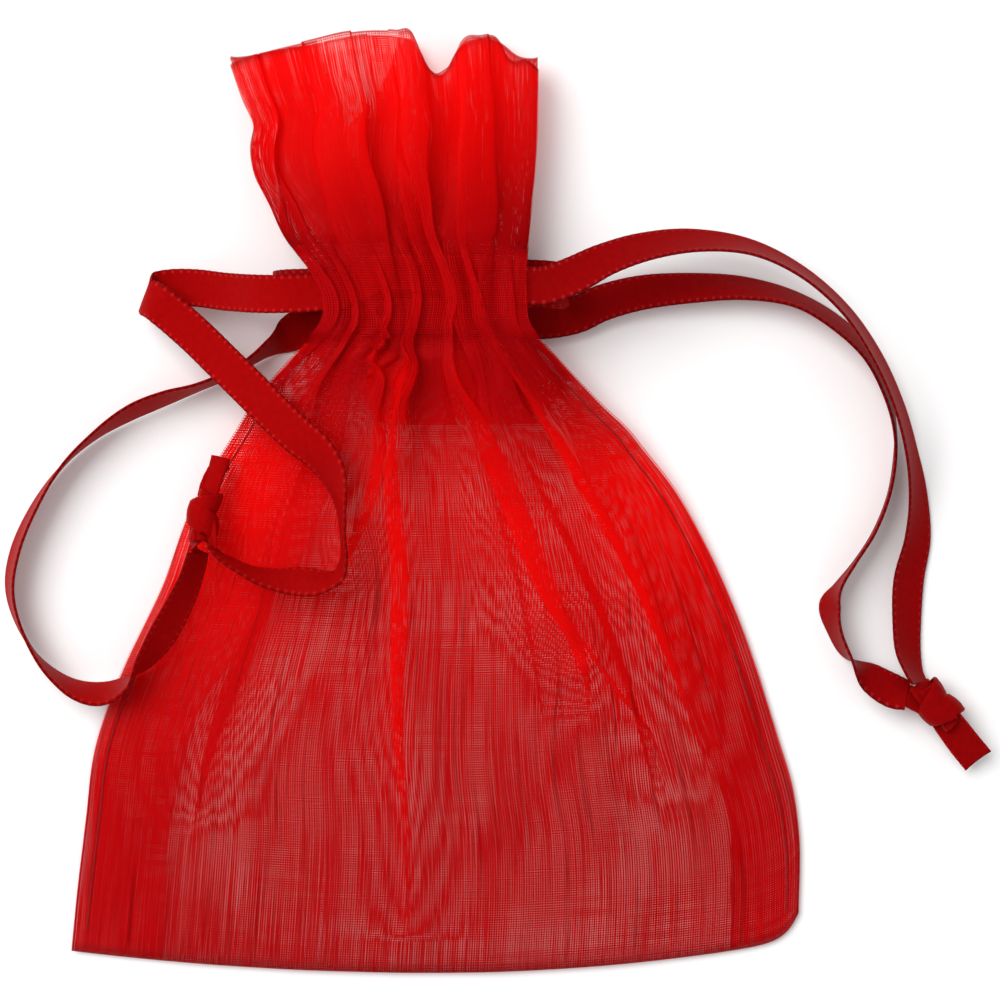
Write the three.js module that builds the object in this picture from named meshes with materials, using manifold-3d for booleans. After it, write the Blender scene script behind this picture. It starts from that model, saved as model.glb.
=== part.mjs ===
// A small drawstring gift pouch of sheer organza, drawn shut and lying flat on its back, neck towards +Y.
// One strip of cloth is folded at the bottom, sewn up both sides and hemmed inwards at the top. Two rows of
// stitching across the hem make the channel. Two satin ribbons run through it, one leaving at each side, and the
// two tails of each ribbon are knotted together. Millimetres, +Z up, the cloth resting on z = 0.
import * as THREE from "three";
import { mergeVertices } from "three/addons/utils/BufferGeometryUtils.js";
import Module from "manifold-3d";

const { lerp, smoothstep } = THREE.MathUtils;

// Driving dimensions of the cloth
const CLOTH_WIDTH = 70.2;
const CLOTH_LENGTH = 91.2;
const FRILL_LENGTH = 21.8;
const NECK_WIDTH = 19.8;
const FRILL_WIDTH = 30.1;
const NECK_OFFSET = -0.7;
const BASE_OFFSET = 0;
const CLOTH_WALL = 0.5;
const HEM_WALL = 0.75;
const HEM_DEPTH = 36;
const SIDE_WALL = 0.5;
const SEAM_ALLOWANCE = 10;
const ALLOWANCE_WALL = 0.25;
const CORNER_RISE_LEFT = 2.1;
const CORNER_RISE_RIGHT = 3.6;

// Driving dimensions of the ribbons, their channel and the knots
const RIBBON_WIDTH = 3.6;
const RIBBON_THICKNESS = 0.3;
const RIBBON_CLEARANCE = 0.3;
const CHANNEL_HEIGHT = 9.1;
const CHANNEL_MARGIN = 0.4;
const CHANNEL_SKIN = 0.4;
const PLEAT_SKIN = 0.65;
const BACK_SKIN = 0.75;
const NECK_LIFT = 0.1;
const NECK_SIDE_WALL = 1.2;
const THROAT_GAP = 4.3;
const THREAD_DIAMETER = 0.25;
const THREAD_CLEARANCE = 0.4;
const STITCH_PINCH = 0.65;
const SLOT_OVERRUN = 7;

// Heights of the lying cloth
const SEAM_REST = 0.6;
const MOUTH_SEAM = 4;
const BOTTOM_THICKNESS = 2;
const MOUTH_THICKNESS = 8.6;
const FRILL_LIFT = 0.3;
const FRILL_SHIFT = 0.7;

// Places along the length, from the bottom fold up
const BASE_Y = -CLOTH_LENGTH / 2;
const TOP_Y = CLOTH_LENGTH / 2;
const CHANNEL_TOP = TOP_Y - FRILL_LENGTH;
const CHANNEL_BOTTOM = CHANNEL_TOP - CHANNEL_HEIGHT;
const BODY_LENGTH = CHANNEL_BOTTOM - BASE_Y;
const HEM_EDGE = TOP_Y - HEM_DEPTH;

// Heights in the neck, from the outer skin of the back panel to the outer skin of the front panel
const SLOT_HEIGHT = 2 * RIBBON_THICKNESS + 3 * RIBBON_CLEARANCE;
const BACK_SLOT = NECK_LIFT + BACK_SKIN;
const THROAT_FLOOR = BACK_SLOT + SLOT_HEIGHT + CHANNEL_SKIN;
const THROAT_ROOF = THROAT_FLOOR + THROAT_GAP;
const FRONT_SLOT = THROAT_ROOF + CHANNEL_SKIN;
const NECK_THICKNESS = FRONT_SLOT + SLOT_HEIGHT + PLEAT_SKIN;
const NECK_MIDDLE = (THROAT_FLOOR + THROAT_ROOF) / 2;

// Forms of a section, as the powers in (1 - |t|^power)^root: a lens with thin edges for the body, a blunt loop for
// the neck and a rounder one for the mouth. The underside is flat out to a share of its half width, and beyond that
// it slants up to the side seam in the body and rolls up to it in the neck and the frill.
const LENS = { power: 2, root: 1.2 };
const BLUNT = { power: 5, root: 0.5 };
const ROUND = { power: 3, root: 0.5 };
const FLAT_SHARE = 0.62;
const SLANT = { power: 1, root: 1.3 };
const ROLL = { power: 2.5, root: 0.5 };

// Shapes as shares: [share of the run, share of the change]. The body opens from the neck to the full width and
// the frill opens from the neck to its own width.
const BODY_FLARE = [
  [0, 0], [0.083, 0.27], [0.244, 0.52], [0.405, 0.685], [0.564, 0.84], [0.725, 0.935], [0.88, 0.985], [1, 1],
];
const BODY_LOFT = [[0, 1], [0.1, 0.93], [0.3, 0.74], [0.55, 0.52], [0.8, 0.26], [0.95, 0.08], [1, 0]];
const FRILL_FLARE = [[0, 0], [0.25, 0.58], [0.7, 0.87], [1, 1]];

// The free edge of the frill, in millimetres under its highest tip, across the panel from -1 to 1
const FRONT_EDGE = [
  [-1, 3], [-0.5, 1.4], [-0.2, 0.2], [0.12, 0], [0.3, 2.4], [0.42, 4], [0.52, 1.3], [0.66, 0.4], [0.78, 1],
  [0.84, 2.7], [1, 3],
];
const BACK_EDGE = [[-1, 3], [-0.4, 1.5], [0.35, 4], [1, 3]];

// Pleats: where each ridge leaves the neck and where it ends in the body, across the panel from -1 to 1, how high
// it stands in millimetres and how far down the body it reaches
const FRONT_PLEATS = [
  { neck: -0.84, low: -0.78, rise: 0.5, reach: 0.3 },
  { neck: -0.6, low: -0.46, rise: 0.55, reach: 0.34 },
  { neck: -0.36, low: -0.1, rise: 0.7, reach: 1 },
  { neck: -0.1, low: 0.12, rise: 0.5, reach: 0.4 },
  { neck: 0.14, low: 0.28, rise: 0.55, reach: 0.45 },
  { neck: 0.38, low: 0.54, rise: 0.7, reach: 0.75 },
  { neck: 0.62, low: 0.72, rise: 0.5, reach: 0.45 },
  { neck: 0.85, low: 0.88, rise: 0.5, reach: 0.35 },
];
const FRILL_PLEATS = [
  { neck: -0.84, low: -0.78, rise: 0.6 },
  { neck: -0.5, low: -0.4, rise: 0.9 },
  { neck: -0.1, low: -0.05, rise: 0.7 },
  { neck: 0.3, low: 0.36, rise: 1.1 },
  { neck: 0.66, low: 0.68, rise: 0.8 },
];
const PLEAT_SPREAD = 0.075;
const BODY_SWELL = 1.7;
// Share of the front's pleats that the back shows in the neck and the frill, the least share of the height over
// the seam that stays hollow beside it, and the share of the height that is left at the bottom fold
const BACK_SHARE = 0.2;
const INNER_SHARE = 0.12;
const FOLD_SHARE = 0.35;

// Mesh density
const COLUMNS = 36;
const EDGE_CROWDING = 0.35;
const THREAD_SIDES = 5;
const BODY_ROWS = [0, 0.012, 0.05, 0.12, 0.2, 0.29, 0.38, 0.47, 0.56, 0.64, 0.72, 0.79, 0.85, 0.9, 0.945, 0.98];
const NECK_ROWS = [0, 0.066, 0.27, 0.5, 0.73, 0.934, 1];
const FRILL_ROWS = [0.045, 0.13, 0.26, 0.42, 0.6, 0.8, 1];

// A smooth curve through [place, value] pairs
function through(pairs, at) {
  let i = 0;
  while (i < pairs.length - 2 && at > pairs[i + 1][0]) i += 1;
  const [x0, y0] = pairs[i];
  const [x1, y1] = pairs[i + 1];
  const before = pairs[Math.max(0, i - 1)];
  const after = pairs[Math.min(pairs.length - 1, i + 2)];
  const span = x1 - x0;
  const s = THREE.MathUtils.clamp((at - x0) / span, 0, 1);
  const m0 = ((y1 - before[1]) / (x1 - before[0])) * span;
  const m1 = ((after[1] - y0) / (after[0] - x0)) * span;
  const s2 = s * s;
  const s3 = s2 * s;
  return y0 * (2 * s3 - 3 * s2 + 1) + m0 * (s3 - 2 * s2 + s) + y1 * (3 * s2 - 2 * s3) + m1 * (s3 - s2);
}

// One station along the pouch: part is "body", "neck" or "frill", and f runs from 0 to 1 up that part.
// The section there is a loop of half the width `half`: its front stands `rise` over the side seams and its back
// lies `drop` under them. The other values are its form above and under the seams, its walls and how much of its
// pleats is solid inside.
function section(part, f) {
  if (part === "body") {
    const down = 1 - f;
    const loft = through(BODY_LOFT, down);
    const fold = smoothstep(f, -0.012, 0.03);
    const seam = lerp(SEAM_REST, NECK_MIDDLE, Math.pow(f, 5));
    const blunt = Math.pow(f, 8);
    const hem = smoothstep(f * BODY_LENGTH, HEM_EDGE - BASE_Y - 1, HEM_EDGE - BASE_Y + 1);
    return {
      centre: lerp(BASE_OFFSET, NECK_OFFSET, f * f),
      half: lerp(NECK_WIDTH, CLOTH_WIDTH, through(BODY_FLARE, down)) / 2,
      seam,
      rise: (lerp(BOTTOM_THICKNESS, NECK_THICKNESS, loft) - seam) * lerp(FOLD_SHARE, 1, fold),
      drop: seam * lerp(FOLD_SHARE, 1, fold),
      power: lerp(LENS.power, BLUNT.power, blunt),
      root: lerp(LENS.root, BLUNT.root, blunt),
      under: { power: lerp(SLANT.power, ROLL.power, blunt), root: lerp(SLANT.root, ROLL.root, blunt) },
      front: lerp(CLOTH_WALL, HEM_WALL, hem),
      back: CLOTH_WALL,
      side: SIDE_WALL,
      solid: smoothstep(f, 0.93, 1),
    };
  }
  if (part === "neck") {
    const pinch = STITCH_PINCH * (1 - smoothstep(Math.min(f, 1 - f), 0, 0.06));
    return {
      centre: NECK_OFFSET,
      half: NECK_WIDTH / 2 - pinch,
      seam: NECK_MIDDLE,
      rise: NECK_THICKNESS - NECK_MIDDLE - pinch,
      drop: NECK_MIDDLE - NECK_LIFT - pinch,
      power: BLUNT.power,
      root: BLUNT.root,
      under: ROLL,
      front: NECK_THICKNESS - THROAT_ROOF - pinch,
      back: THROAT_FLOOR - NECK_LIFT - pinch,
      side: NECK_SIDE_WALL - pinch,
      solid: 1,
    };
  }
  const out = smoothstep(f, 0, 0.6);
  const half = lerp(NECK_WIDTH, FRILL_WIDTH, through(FRILL_FLARE, f)) / 2;
  const seam = lerp(NECK_MIDDLE, MOUTH_SEAM, f);
  return {
    centre: NECK_OFFSET + NECK_WIDTH / 2 - half + FRILL_SHIFT * f,
    half,
    seam,
    rise: lerp(NECK_THICKNESS, MOUTH_THICKNESS, out) - seam,
    drop: seam - FRILL_LIFT,
    power: lerp(BLUNT.power, ROUND.power, out),
    root: ROUND.root,
    under: ROLL,
    front: HEM_WALL,
    back: HEM_WALL,
    side: HEM_WALL,
    solid: 0,
  };
}

// How far a pleated panel stands over its smooth form at place t across it
function ripple(part, f, t) {
  let sum = 0;
  const pleats = part === "frill" ? FRILL_PLEATS : FRONT_PLEATS;
  for (const { neck, low, rise, reach } of pleats) {
    const away = part === "neck" ? 0 : part === "body" ? 1 - f : f;
    const left = part === "body" ? 1 - smoothstep(away, 0.35 * reach, reach * 1.02) : 1;
    const spread = PLEAT_SPREAD * (part === "frill" ? lerp(1, 1.8, away) : lerp(1, 0.75, away));
    const off = (t - lerp(neck, low, away)) / spread;
    sum += rise * left * Math.exp(-off * off);
  }
  const swell = part === "body" ? lerp(BODY_SWELL, 1, smoothstep(f, 0.8, 1)) : 1;
  return swell * sum * (1 - Math.pow(t, 8));
}

function heightAt(part, f, t, isFront) {
  const base = BASE_Y + (t < 0 ? CORNER_RISE_LEFT : CORNER_RISE_RIGHT) * t * t;
  if (part === "body") return lerp(base, CHANNEL_BOTTOM, f);
  if (part === "neck") return lerp(CHANNEL_BOTTOM, CHANNEL_TOP, f);
  return lerp(CHANNEL_TOP, TOP_Y - Math.max(0, through(isFront ? FRONT_EDGE : BACK_EDGE, t)), f);
}

// A point of the outer skin, or of the inner skin, at place t across the front or the back panel
function clothPoint(part, f, t, isFront, isInner) {
  const s = section(part, f);
  const curve = Math.pow(Math.max(0, 1 - Math.pow(Math.abs(t), s.power)), s.root);
  const past = Math.max(0, (Math.abs(t) - FLAT_SHARE) / (1 - FLAT_SHARE));
  const flat = Math.pow(1 - Math.pow(past, s.under.power), s.under.root);
  const x = s.centre + t * (s.half - (isInner ? s.side : 0));
  const wave = ripple(part, f, t) * (isInner ? 1 - s.solid : 1);
  let y = heightAt(part, f, t, isFront);
  if (isInner && part === "body") y = lerp(heightAt(part, 0, t, isFront) + CLOTH_WALL, CHANNEL_BOTTOM, f);
  const whole = isFront ? curve * (s.rise + wave) : flat * (s.drop - (part === "body" ? 0 : BACK_SHARE * wave));
  const allowance = part === "body" ? smoothstep(Math.abs(t) * s.half, s.half - SEAM_ALLOWANCE, s.half) : 0;
  const wall = isFront ? s.front : s.back + ALLOWANCE_WALL * Math.min(1, 8 * allowance);
  const height = isInner ? Math.max(whole - wall, INNER_SHARE * whole) : whole;
  return new THREE.Vector3(x, y, s.seam + (isFront ? height : -height));
}

const STATIONS = [
  ...BODY_ROWS.map((f) => ["body", f]),
  ...NECK_ROWS.map((f) => ["neck", f]),
  ...FRILL_ROWS.map((f) => ["frill", f]),
];

// Places across a panel, closer together near the side seams
function columnPlace(i) {
  const s = (2 * i) / COLUMNS - 1;
  return lerp(s, Math.sin((s * Math.PI) / 2), EDGE_CROWDING);
}

// Once round the pouch: along the front from the left seam to the right seam and back along the back panel
function ring(part, f, isInner) {
  const points = [];
  for (let i = 0; i < COLUMNS; i += 1) points.push(clothPoint(part, f, columnPlace(i), true, isInner));
  for (let i = COLUMNS; i > 0; i -= 1) points.push(clothPoint(part, f, columnPlace(i), false, isInner));
  points[0].z = section(part, f).seam;
  points[COLUMNS].z = section(part, f).seam;
  return points;
}

// Joins rings of equal length into one closed skin; a closed loop joins the last ring to the first
function skin(rings, isLoop) {
  const count = rings[0].length;
  const position = rings.flat().flatMap((p) => [p.x, p.y, p.z]);
  const index = [];
  const last = isLoop ? rings.length : rings.length - 1;
  for (let r = 0; r < last; r += 1) {
    const a = r * count;
    const b = ((r + 1) % rings.length) * count;
    for (let i = 0; i < count; i += 1) {
      const j = (i + 1) % count;
      index.push(a + i, a + j, b + j, a + i, b + j, b + i);
    }
  }
  const geometry = new THREE.BufferGeometry();
  geometry.setAttribute("position", new THREE.Float32BufferAttribute(position, 3));
  geometry.setIndex(index);
  return geometry;
}

// Closes the end of a flattened ring by joining each front point to the back point under it
function lidIndex(start, count, faceFirst) {
  const index = [];
  for (let i = 0; i < count / 2; i += 1) {
    const a = start + i;
    const b = start + i + 1;
    const c = start + ((count - i - 1) % count);
    const d = start + ((count - i) % count);
    const quad = [];
    if (i === 0) quad.push(a, b, c);
    else if (i === count / 2 - 1) quad.push(a, b, d);
    else quad.push(a, b, c, a, c, d);
    for (let k = 0; k < quad.length; k += 3) {
      index.push(quad[k], quad[faceFirst ? k + 1 : k + 2], quad[faceFirst ? k + 2 : k + 1]);
    }
  }
  return index;
}

function shellGeometry() {
  const outer = STATIONS.map(([part, f]) => ring(part, f, false));
  const inner = STATIONS.map(([part, f]) => ring(part, f, true)).reverse();
  const geometry = skin([...outer, ...inner], false);
  const count = 2 * COLUMNS;
  const index = [...geometry.index.array];
  index.push(...lidIndex(0, count, false));
  index.push(...lidIndex((outer.length + inner.length - 1) * count, count, true));
  geometry.setIndex(index);
  return outwards(geometry);
}

// Turns every face round if the body is inside out
function outwards(geometry) {
  const p = geometry.attributes.position;
  const index = geometry.index.array;
  const [a, b, c] = [new THREE.Vector3(), new THREE.Vector3(), new THREE.Vector3()];
  let volume = 0;
  for (let i = 0; i < index.length; i += 3) {
    a.fromBufferAttribute(p, index[i]);
    b.fromBufferAttribute(p, index[i + 1]);
    c.fromBufferAttribute(p, index[i + 2]);
    volume += a.dot(b.cross(c));
  }
  if (volume < 0) {
    for (let i = 0; i < index.length; i += 3) [index[i], index[i + 1]] = [index[i + 1], index[i]];
    geometry.setIndex([...index]);
  }
  return geometry;
}

// Solids to join and cut
const wasm = await Module();
wasm.setup();

function toSolid(source) {
  const geometry = source.clone();
  for (const name of ["normal", "uv"]) geometry.deleteAttribute(name);
  const merged = mergeVertices(geometry, 1e-5);
  return new wasm.Manifold(
    new wasm.Mesh({
      numProp: 3,
      vertProperties: new Float32Array(merged.attributes.position.array),
      triVerts: new Uint32Array(merged.index.array),
    }),
  );
}

function toGeometry(solid) {
  const mesh = solid.getMesh();
  const geometry = new THREE.BufferGeometry();
  geometry.setAttribute("position", new THREE.Float32BufferAttribute(mesh.vertProperties, 3));
  geometry.setIndex([...mesh.triVerts]);
  geometry.computeVertexNormals();
  return geometry;
}

// The pouch: its shell, with a slot through the double hem of the front panel and one through that of the back
function pouchGeometry() {
  const length = NECK_WIDTH + 2 * NECK_SIDE_WALL + SLOT_OVERRUN;
  const high = CHANNEL_HEIGHT - 2 * CHANNEL_MARGIN;
  let solid = toSolid(shellGeometry());
  for (const low of [BACK_SLOT, FRONT_SLOT]) {
    const slot = new THREE.BoxGeometry(length, high, SLOT_HEIGHT);
    slot.translate(NECK_OFFSET, (CHANNEL_BOTTOM + CHANNEL_TOP) / 2, low + SLOT_HEIGHT / 2);
    solid = solid.subtract(toSolid(slot));
  }
  return toGeometry(solid);
}

// A row of stitching round the neck, lying in its groove a clearance off the cloth
function threadGeometry(atTop) {
  const outline = ring("neck", atTop ? 1 : 0, false);
  const offset = THREAD_CLEARANCE + THREAD_DIAMETER / 2;
  const path = outline.map((p, i) => {
    const before = outline[(i + outline.length - 1) % outline.length];
    const after = outline[(i + 1) % outline.length];
    const normal = new THREE.Vector3(before.z - after.z, 0, after.x - before.x).normalize();
    return p.clone().addScaledVector(normal, offset);
  });
  const rings = path.map((p, i) => {
    const before = path[(i + path.length - 1) % path.length];
    const after = path[(i + 1) % path.length];
    const normal = new THREE.Vector3(before.z - after.z, 0, after.x - before.x).normalize();
    const radius = THREAD_DIAMETER / 2;
    return Array.from({ length: THREAD_SIDES }, (_, k) => {
      const turn = (k / THREAD_SIDES) * 2 * Math.PI;
      const sideways = new THREE.Vector3(0, radius * Math.sin(turn), 0);
      return p.clone().addScaledVector(normal, radius * Math.cos(turn)).add(sideways);
    });
  });
  return outwards(skin(rings, true));
}

// Each ribbon is one strip from its knot, along the upper tail, through the front channel, round the far side of
// the neck, back through the back channel and along the lower tail to the knot. A point holds x, y, z and the
// direction across the ribbon there.
const LEFT_RIBBON = [
  [-20.9, -4.6, 5.4, 0.35, -0.3, 0.9],
  [-20.0, -5.3, 5.7, 0.3, -0.3, 0.9],
  [-17.6, -6.6, 6.6, 0.1, -0.3, 0.95],
  [-15.3, -7.3, 7.2, 0, -0.5, 0.85],
  [-12.6, -7.6, 7.8, 0, -0.7, 0.7],
  [-10.2, -7.7, 8.8, -0.2, -0.6, 0.8],
  [-8.8, -7.0, 9.3, 0.3, -0.2, 0.95],
  [-8.3, -5.6, 9.6, 0.2, 0, 1],
  [-8.4, -3.3, 9.8, 0.15, 0, 1],
  [-8.6, -0.5, 9.8, 0.3, 0.1, 0.95],
  [-9.3, 2.3, 9.8, 0.6, 0.5, 0.7],
  [-10.8, 4.5, 9.6, 0.75, 0.6, 0.4],
  [-12.5, 5.9, 9.2, 0.7, 0.68, 0.2],
  [-14.8, 8.0, 8.4, 0.68, 0.72, 0.1],
  [-17.1, 10.3, 7.4, 0.68, 0.72, 0],
  [-19.8, 12.9, 6.2, 0.67, 0.74, 0],
  [-22.5, 15.5, 5.1, 0.67, 0.74, 0],
  [-24.8, 17.5, 4.4, 0.66, 0.75, 0.05],
  [-26.6, 18.9, 4, 0.55, 0.83, 0.15],
  [-27.6, 19.5, 2.9, 0.4, 0.86, 0.3],
  [-26.9, 20.1, 1.7, 0.2, 0.95, 0.2],
  [-25.1, 20.4, 1.6, 0.1, 1, 0.05],
  [-22.8, 20.3, 2.5, 0.03, 1, 0],
  [-19.8, 20.1, 4.6, 0, 1, 0],
  [-16.6, 19.9, 7.3, 0, 1, 0],
  [-14.4, 19.9, 8.35, 0, 1, 0],
  [-11.5, 19.9, 8.5, 0, 1, 0],
  [-8.2, 19.9, 8.5, 0, 1, 0],
  [-5.2, 21.2, 8.5, 0, 1, 0],
  [-2.2, 21.3, 8.5, 0, 1, 0],
  [0.8, 21.3, 7.9, 0, 1, 0],
  [5.3, 21.2, 7.9, 0, 1, 0],
  [8.3, 19.9, 7.9, 0, 1, 0],
  [10, 19.9, 7.9, 0, 1, 0],
  [12, 20.0, 7.3, 0, 1, 0],
  [13.2, 20.3, 5.6, 0, 1, 0],
  [13.2, 20.9, 3.6, 0, 1, 0],
  [12, 21.2, 1.9, 0, 1, 0],
  [10, 21.3, 1.35, 0, 1, 0],
  [5, 21.2, 1.3, 0, 1, 0],
  [0, 19.4, 1.3, 0, 1, 0],
  [-5, 17.5, 1.3, 0, 1, 0],
  [-10, 17.3, 1.3, 0, 1, 0],
  [-12.4, 16.8, 1.3, 0, 1, 0],
  [-14.2, 15.7, 1.5, 0.3, 0.9, 0.25],
  [-15.9, 14.5, 2, 0.4, 0.6, 0.7],
  [-17.9, 13.1, 2.1, 0.3, 0.3, 0.9],
  [-20.4, 11.7, 2.1, 0.1, 0.15, 1],
  [-22.9, 10.7, 2.1, 0.05, 0.15, 1],
  [-25.9, 9.7, 2.1, 0.1, 0.35, 0.93],
  [-29.2, 8.3, 2.1, 0.25, 0.45, 0.87],
  [-32.6, 6.1, 2.1, 0.35, 0.35, 0.87],
  [-35.8, 3.1, 2.1, 0.35, 0.25, 0.9],
  [-38.4, -0.8, 2.1, 0.4, 0.15, 0.9],
  [-40.2, -5.0, 2.1, 0.4, 0.05, 0.9],
  [-40.7, -8.6, 2.1, 0.35, -0.05, 0.93],
  [-39.7, -12.3, 2.1, 0.3, -0.15, 0.94],
  [-37.5, -15.8, 2.1, 0.25, -0.3, 0.92],
  [-34.6, -18.0, 2.1, 0.1, -0.45, 0.89],
  [-31.7, -18.5, 2.5, -0.15, -0.6, 0.79],
  [-29.2, -17.3, 3.2, -0.4, -0.6, 0.7],
  [-27.2, -14.9, 3.7, -0.7, -0.3, 0.65],
  [-25.5, -12.2, 4, -0.8, -0.3, 0.5],
  [-23.9, -9.2, 4.5, -0.75, -0.3, 0.6],
  [-22.9, -6.8, 5, -0.6, -0.2, 0.8],
  [-22.4, -5.0, 5.2, -0.5, -0.1, 0.9],
];
const RIGHT_RIBBON = [
  [46.5, -17.6, 2.1, -0.95, -0.2, 0.5],
  [46, -16.6, 1.8, -0.95, -0.2, 0.4],
  [45.5, -14.6, 1.4, -1, -0.1, 0.25],
  [45.4, -11.6, 1.1, -1, 0, 0.15],
  [45.9, -7.7, 1.1, -1, 0, 0.15],
  [46.7, -3.8, 1.3, -1, 0.05, 0.25],
  [46.5, 0, 1.7, -0.95, -0.05, 0.45],
  [45.6, 4.3, 3.2, -0.85, -0.2, 0.5],
  [44.2, 8.8, 4.6, -0.75, -0.35, 0.6],
  [42, 13.6, 5.1, -0.6, -0.45, 0.66],
  [39, 18, 5.2, -0.45, -0.65, 0.6],
  [34.9, 21.6, 5.2, -0.3, -0.8, 0.5],
  [30.1, 23.9, 5.4, -0.1, -0.95, 0.35],
  [24.7, 24.6, 6, 0, -1, 0.2],
  [19.9, 24.1, 7.2, 0.1, -1, 0.1],
  [16.1, 22.6, 8.2, 0.2, -1, 0.03],
  [13.3, 21.2, 8.6, 0.15, -1, 0],
  [10.5, 20.1, 8.5, 0, -1, 0],
  [6.8, 19.9, 8.5, 0, -1, 0],
  [3.8, 17.35, 8.5, 0, -1, 0],
  [0.8, 17.25, 8.5, 0, -1, 0],
  [-2.2, 17.25, 7.9, 0, -1, 0],
  [-6.7, 17.35, 7.9, 0, -1, 0],
  [-9.7, 19.9, 7.9, 0, -1, 0],
  [-12, 19.9, 7.9, 0, -1, 0],
  [-13.9, 19.9, 7.2, 0, -1, 0],
  [-15, 19.9, 5.6, 0, -1, 0],
  [-15, 19.9, 4.2, 0, -1, 0],
  [-13.9, 19.9, 2.6, 0, -1, 0],
  [-12, 19.9, 1.95, 0, -1, 0],
  [-8, 19.8, 1.9, 0, -1, 0],
  [-3, 18.9, 1.9, 0, -1, 0],
  [2, 17.6, 1.9, 0, -1, 0],
  [6, 17.3, 1.9, 0, -1, 0],
  [10.6, 17.25, 1.9, 0, -1, 0],
  [13.6, 17.3, 1.9, 0.1, -1, 0.05],
  [16, 18, 2, 0.2, -0.95, 0.2],
  [19.7, 19.1, 2, 0.1, -0.95, 0.3],
  [24.5, 19.6, 1.8, 0, -0.97, 0.25],
  [29.8, 19.1, 1.5, -0.15, -0.97, 0.2],
  [34.7, 18, 1.5, -0.3, -0.9, 0.3],
  [38.5, 16, 1.6, -0.45, -0.75, 0.45],
  [41.4, 13.3, 1.9, -0.5, -0.55, 0.65],
  [43.4, 10.2, 2, -0.5, -0.3, 0.8],
  [44.2, 6.9, 2.1, -0.3, -0.05, 0.95],
  [44.2, 3.6, 2.1, -0.1, 0, 1],
  [43.7, 0.3, 2.1, 0, 0, 1],
  [42.3, -3.2, 2.1, 0, 0, 1],
  [40.4, -6, 2.1, 0.05, 0, 1],
  [38.6, -8.4, 2.1, 0.3, -0.15, 0.94],
  [37.9, -10.2, 2, 0.6, -0.2, 0.77],
  [38.4, -12.7, 2, 0.35, 0.05, 0.94],
  [39.7, -15.0, 2, 0.1, 0, 1],
  [42, -17.1, 2, -0.4, -0.7, 0.6],
  [44, -18.3, 2, -0.4, -0.8, 0.4],
  [45.4, -18.7, 2.1, -0.3, -0.7, 0.6],
];
const STEPS_PER_POINT = 1.5;

// A flat strip along hand-set points: each ring is the strip's section, square to the path
function stripGeometry(points, width, thickness) {
  const path = new THREE.CatmullRomCurve3(points.map(([x, y, z]) => new THREE.Vector3(x, y, z)));
  const across = new THREE.CatmullRomCurve3(points.map((p) => new THREE.Vector3(p[3], p[4], p[5])));
  const steps = Math.round((points.length - 1) * STEPS_PER_POINT);
  const rings = [];
  for (let i = 0; i <= steps; i += 1) {
    const u = i / steps;
    const centre = path.getPoint(u);
    const along = path.getTangent(u);
    const side = across.getPoint(u);
    side.addScaledVector(along, -side.dot(along)).normalize().multiplyScalar(width / 2);
    const up = new THREE.Vector3().crossVectors(along, side).normalize().multiplyScalar(thickness / 2);
    rings.push([
      centre.clone().add(side).add(up),
      centre.clone().sub(side).add(up),
      centre.clone().sub(side).sub(up),
      centre.clone().add(side).sub(up),
    ]);
  }
  const geometry = skin(rings, false);
  const end = 4 * steps;
  geometry.setIndex([...geometry.index.array, 0, 2, 1, 0, 3, 2, end, end + 1, end + 2, end, end + 2, end + 3]);
  return outwards(geometry);
}

// A tied knot: a lump wrapped by two turns of ribbon, with the cut ends beyond it
function knotGeometry({ centre, radii, lean, turns, tail }) {
  const place = new THREE.Matrix4().makeRotationZ(lean).setPosition(...centre);
  const lump = new THREE.SphereGeometry(1, 14, 10).scale(...radii);
  let solid = toSolid(lump.applyMatrix4(place));
  for (const { at, tilt, tube } of turns) {
    const radius = Math.sqrt(Math.max(0, 1 - (at / radii[1]) ** 2));
    const turn = new THREE.TorusGeometry(1, tube / radii[0], 8, 18);
    turn.scale(radii[0] * radius, radii[2] * radius, radii[0] * 1.6).rotateX(Math.PI / 2).rotateZ(tilt);
    turn.translate(0, at, 0);
    solid = solid.add(toSolid(turn.applyMatrix4(place)));
  }
  solid = solid.add(toSolid(stripGeometry(tail.points, tail.width, tail.thickness)));
  return toGeometry(solid);
}

const LEFT_KNOT = {
  centre: [-21.8, -1.7, 5],
  radii: [1.6, 2.6, 1.5],
  lean: -0.2,
  turns: [{ at: 0.6, tilt: 0.5, tube: 0.4 }, { at: -1, tilt: -0.35, tube: 0.35 }],
  tail: {
    points: [[-21.6, -0.6, 5, 0.9, 0.2, 0.4], [-21, 1.4, 5.1, 0.9, 0.1, 0.4], [-20.4, 4, 4.9, 0.9, -0.2, 0.4]],
    width: 2,
    thickness: 1,
  },
};
const RIGHT_KNOT = {
  centre: [48.3, -19.8, 2.2],
  radii: [1.9, 2.3, 1.7],
  lean: 0.7,
  turns: [{ at: 0.5, tilt: 0.4, tube: 0.4 }, { at: -0.9, tilt: -0.4, tube: 0.35 }],
  tail: {
    points: [
      [48.7, -20.6, 2.2, 0.6, 0.3, 0.5],
      [50, -22.2, 2, 0.75, 0.45, 0.35],
      [51.2, -23.8, 1.7, 0.82, 0.5, 0.2],
      [52.4, -25.4, 1.5, 0.85, 0.5, 0.1],
    ],
    width: 3.2,
    thickness: 0.7,
  },
};

// Colours and finishes
const ORGANZA = { color: 0xc8141a, roughness: 0.6, metalness: 0 };
const SATIN = { color: 0xa80d12, roughness: 0.4, metalness: 0 };
const THREAD = { color: 0x9c0c10, roughness: 0.7, metalness: 0 };

const pouch = new THREE.Group();

function addPiece(name, geometry, finish) {
  const mesh = new THREE.Mesh(geometry, new THREE.MeshStandardMaterial(finish));
  mesh.name = name;
  pouch.add(mesh);
}

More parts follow.
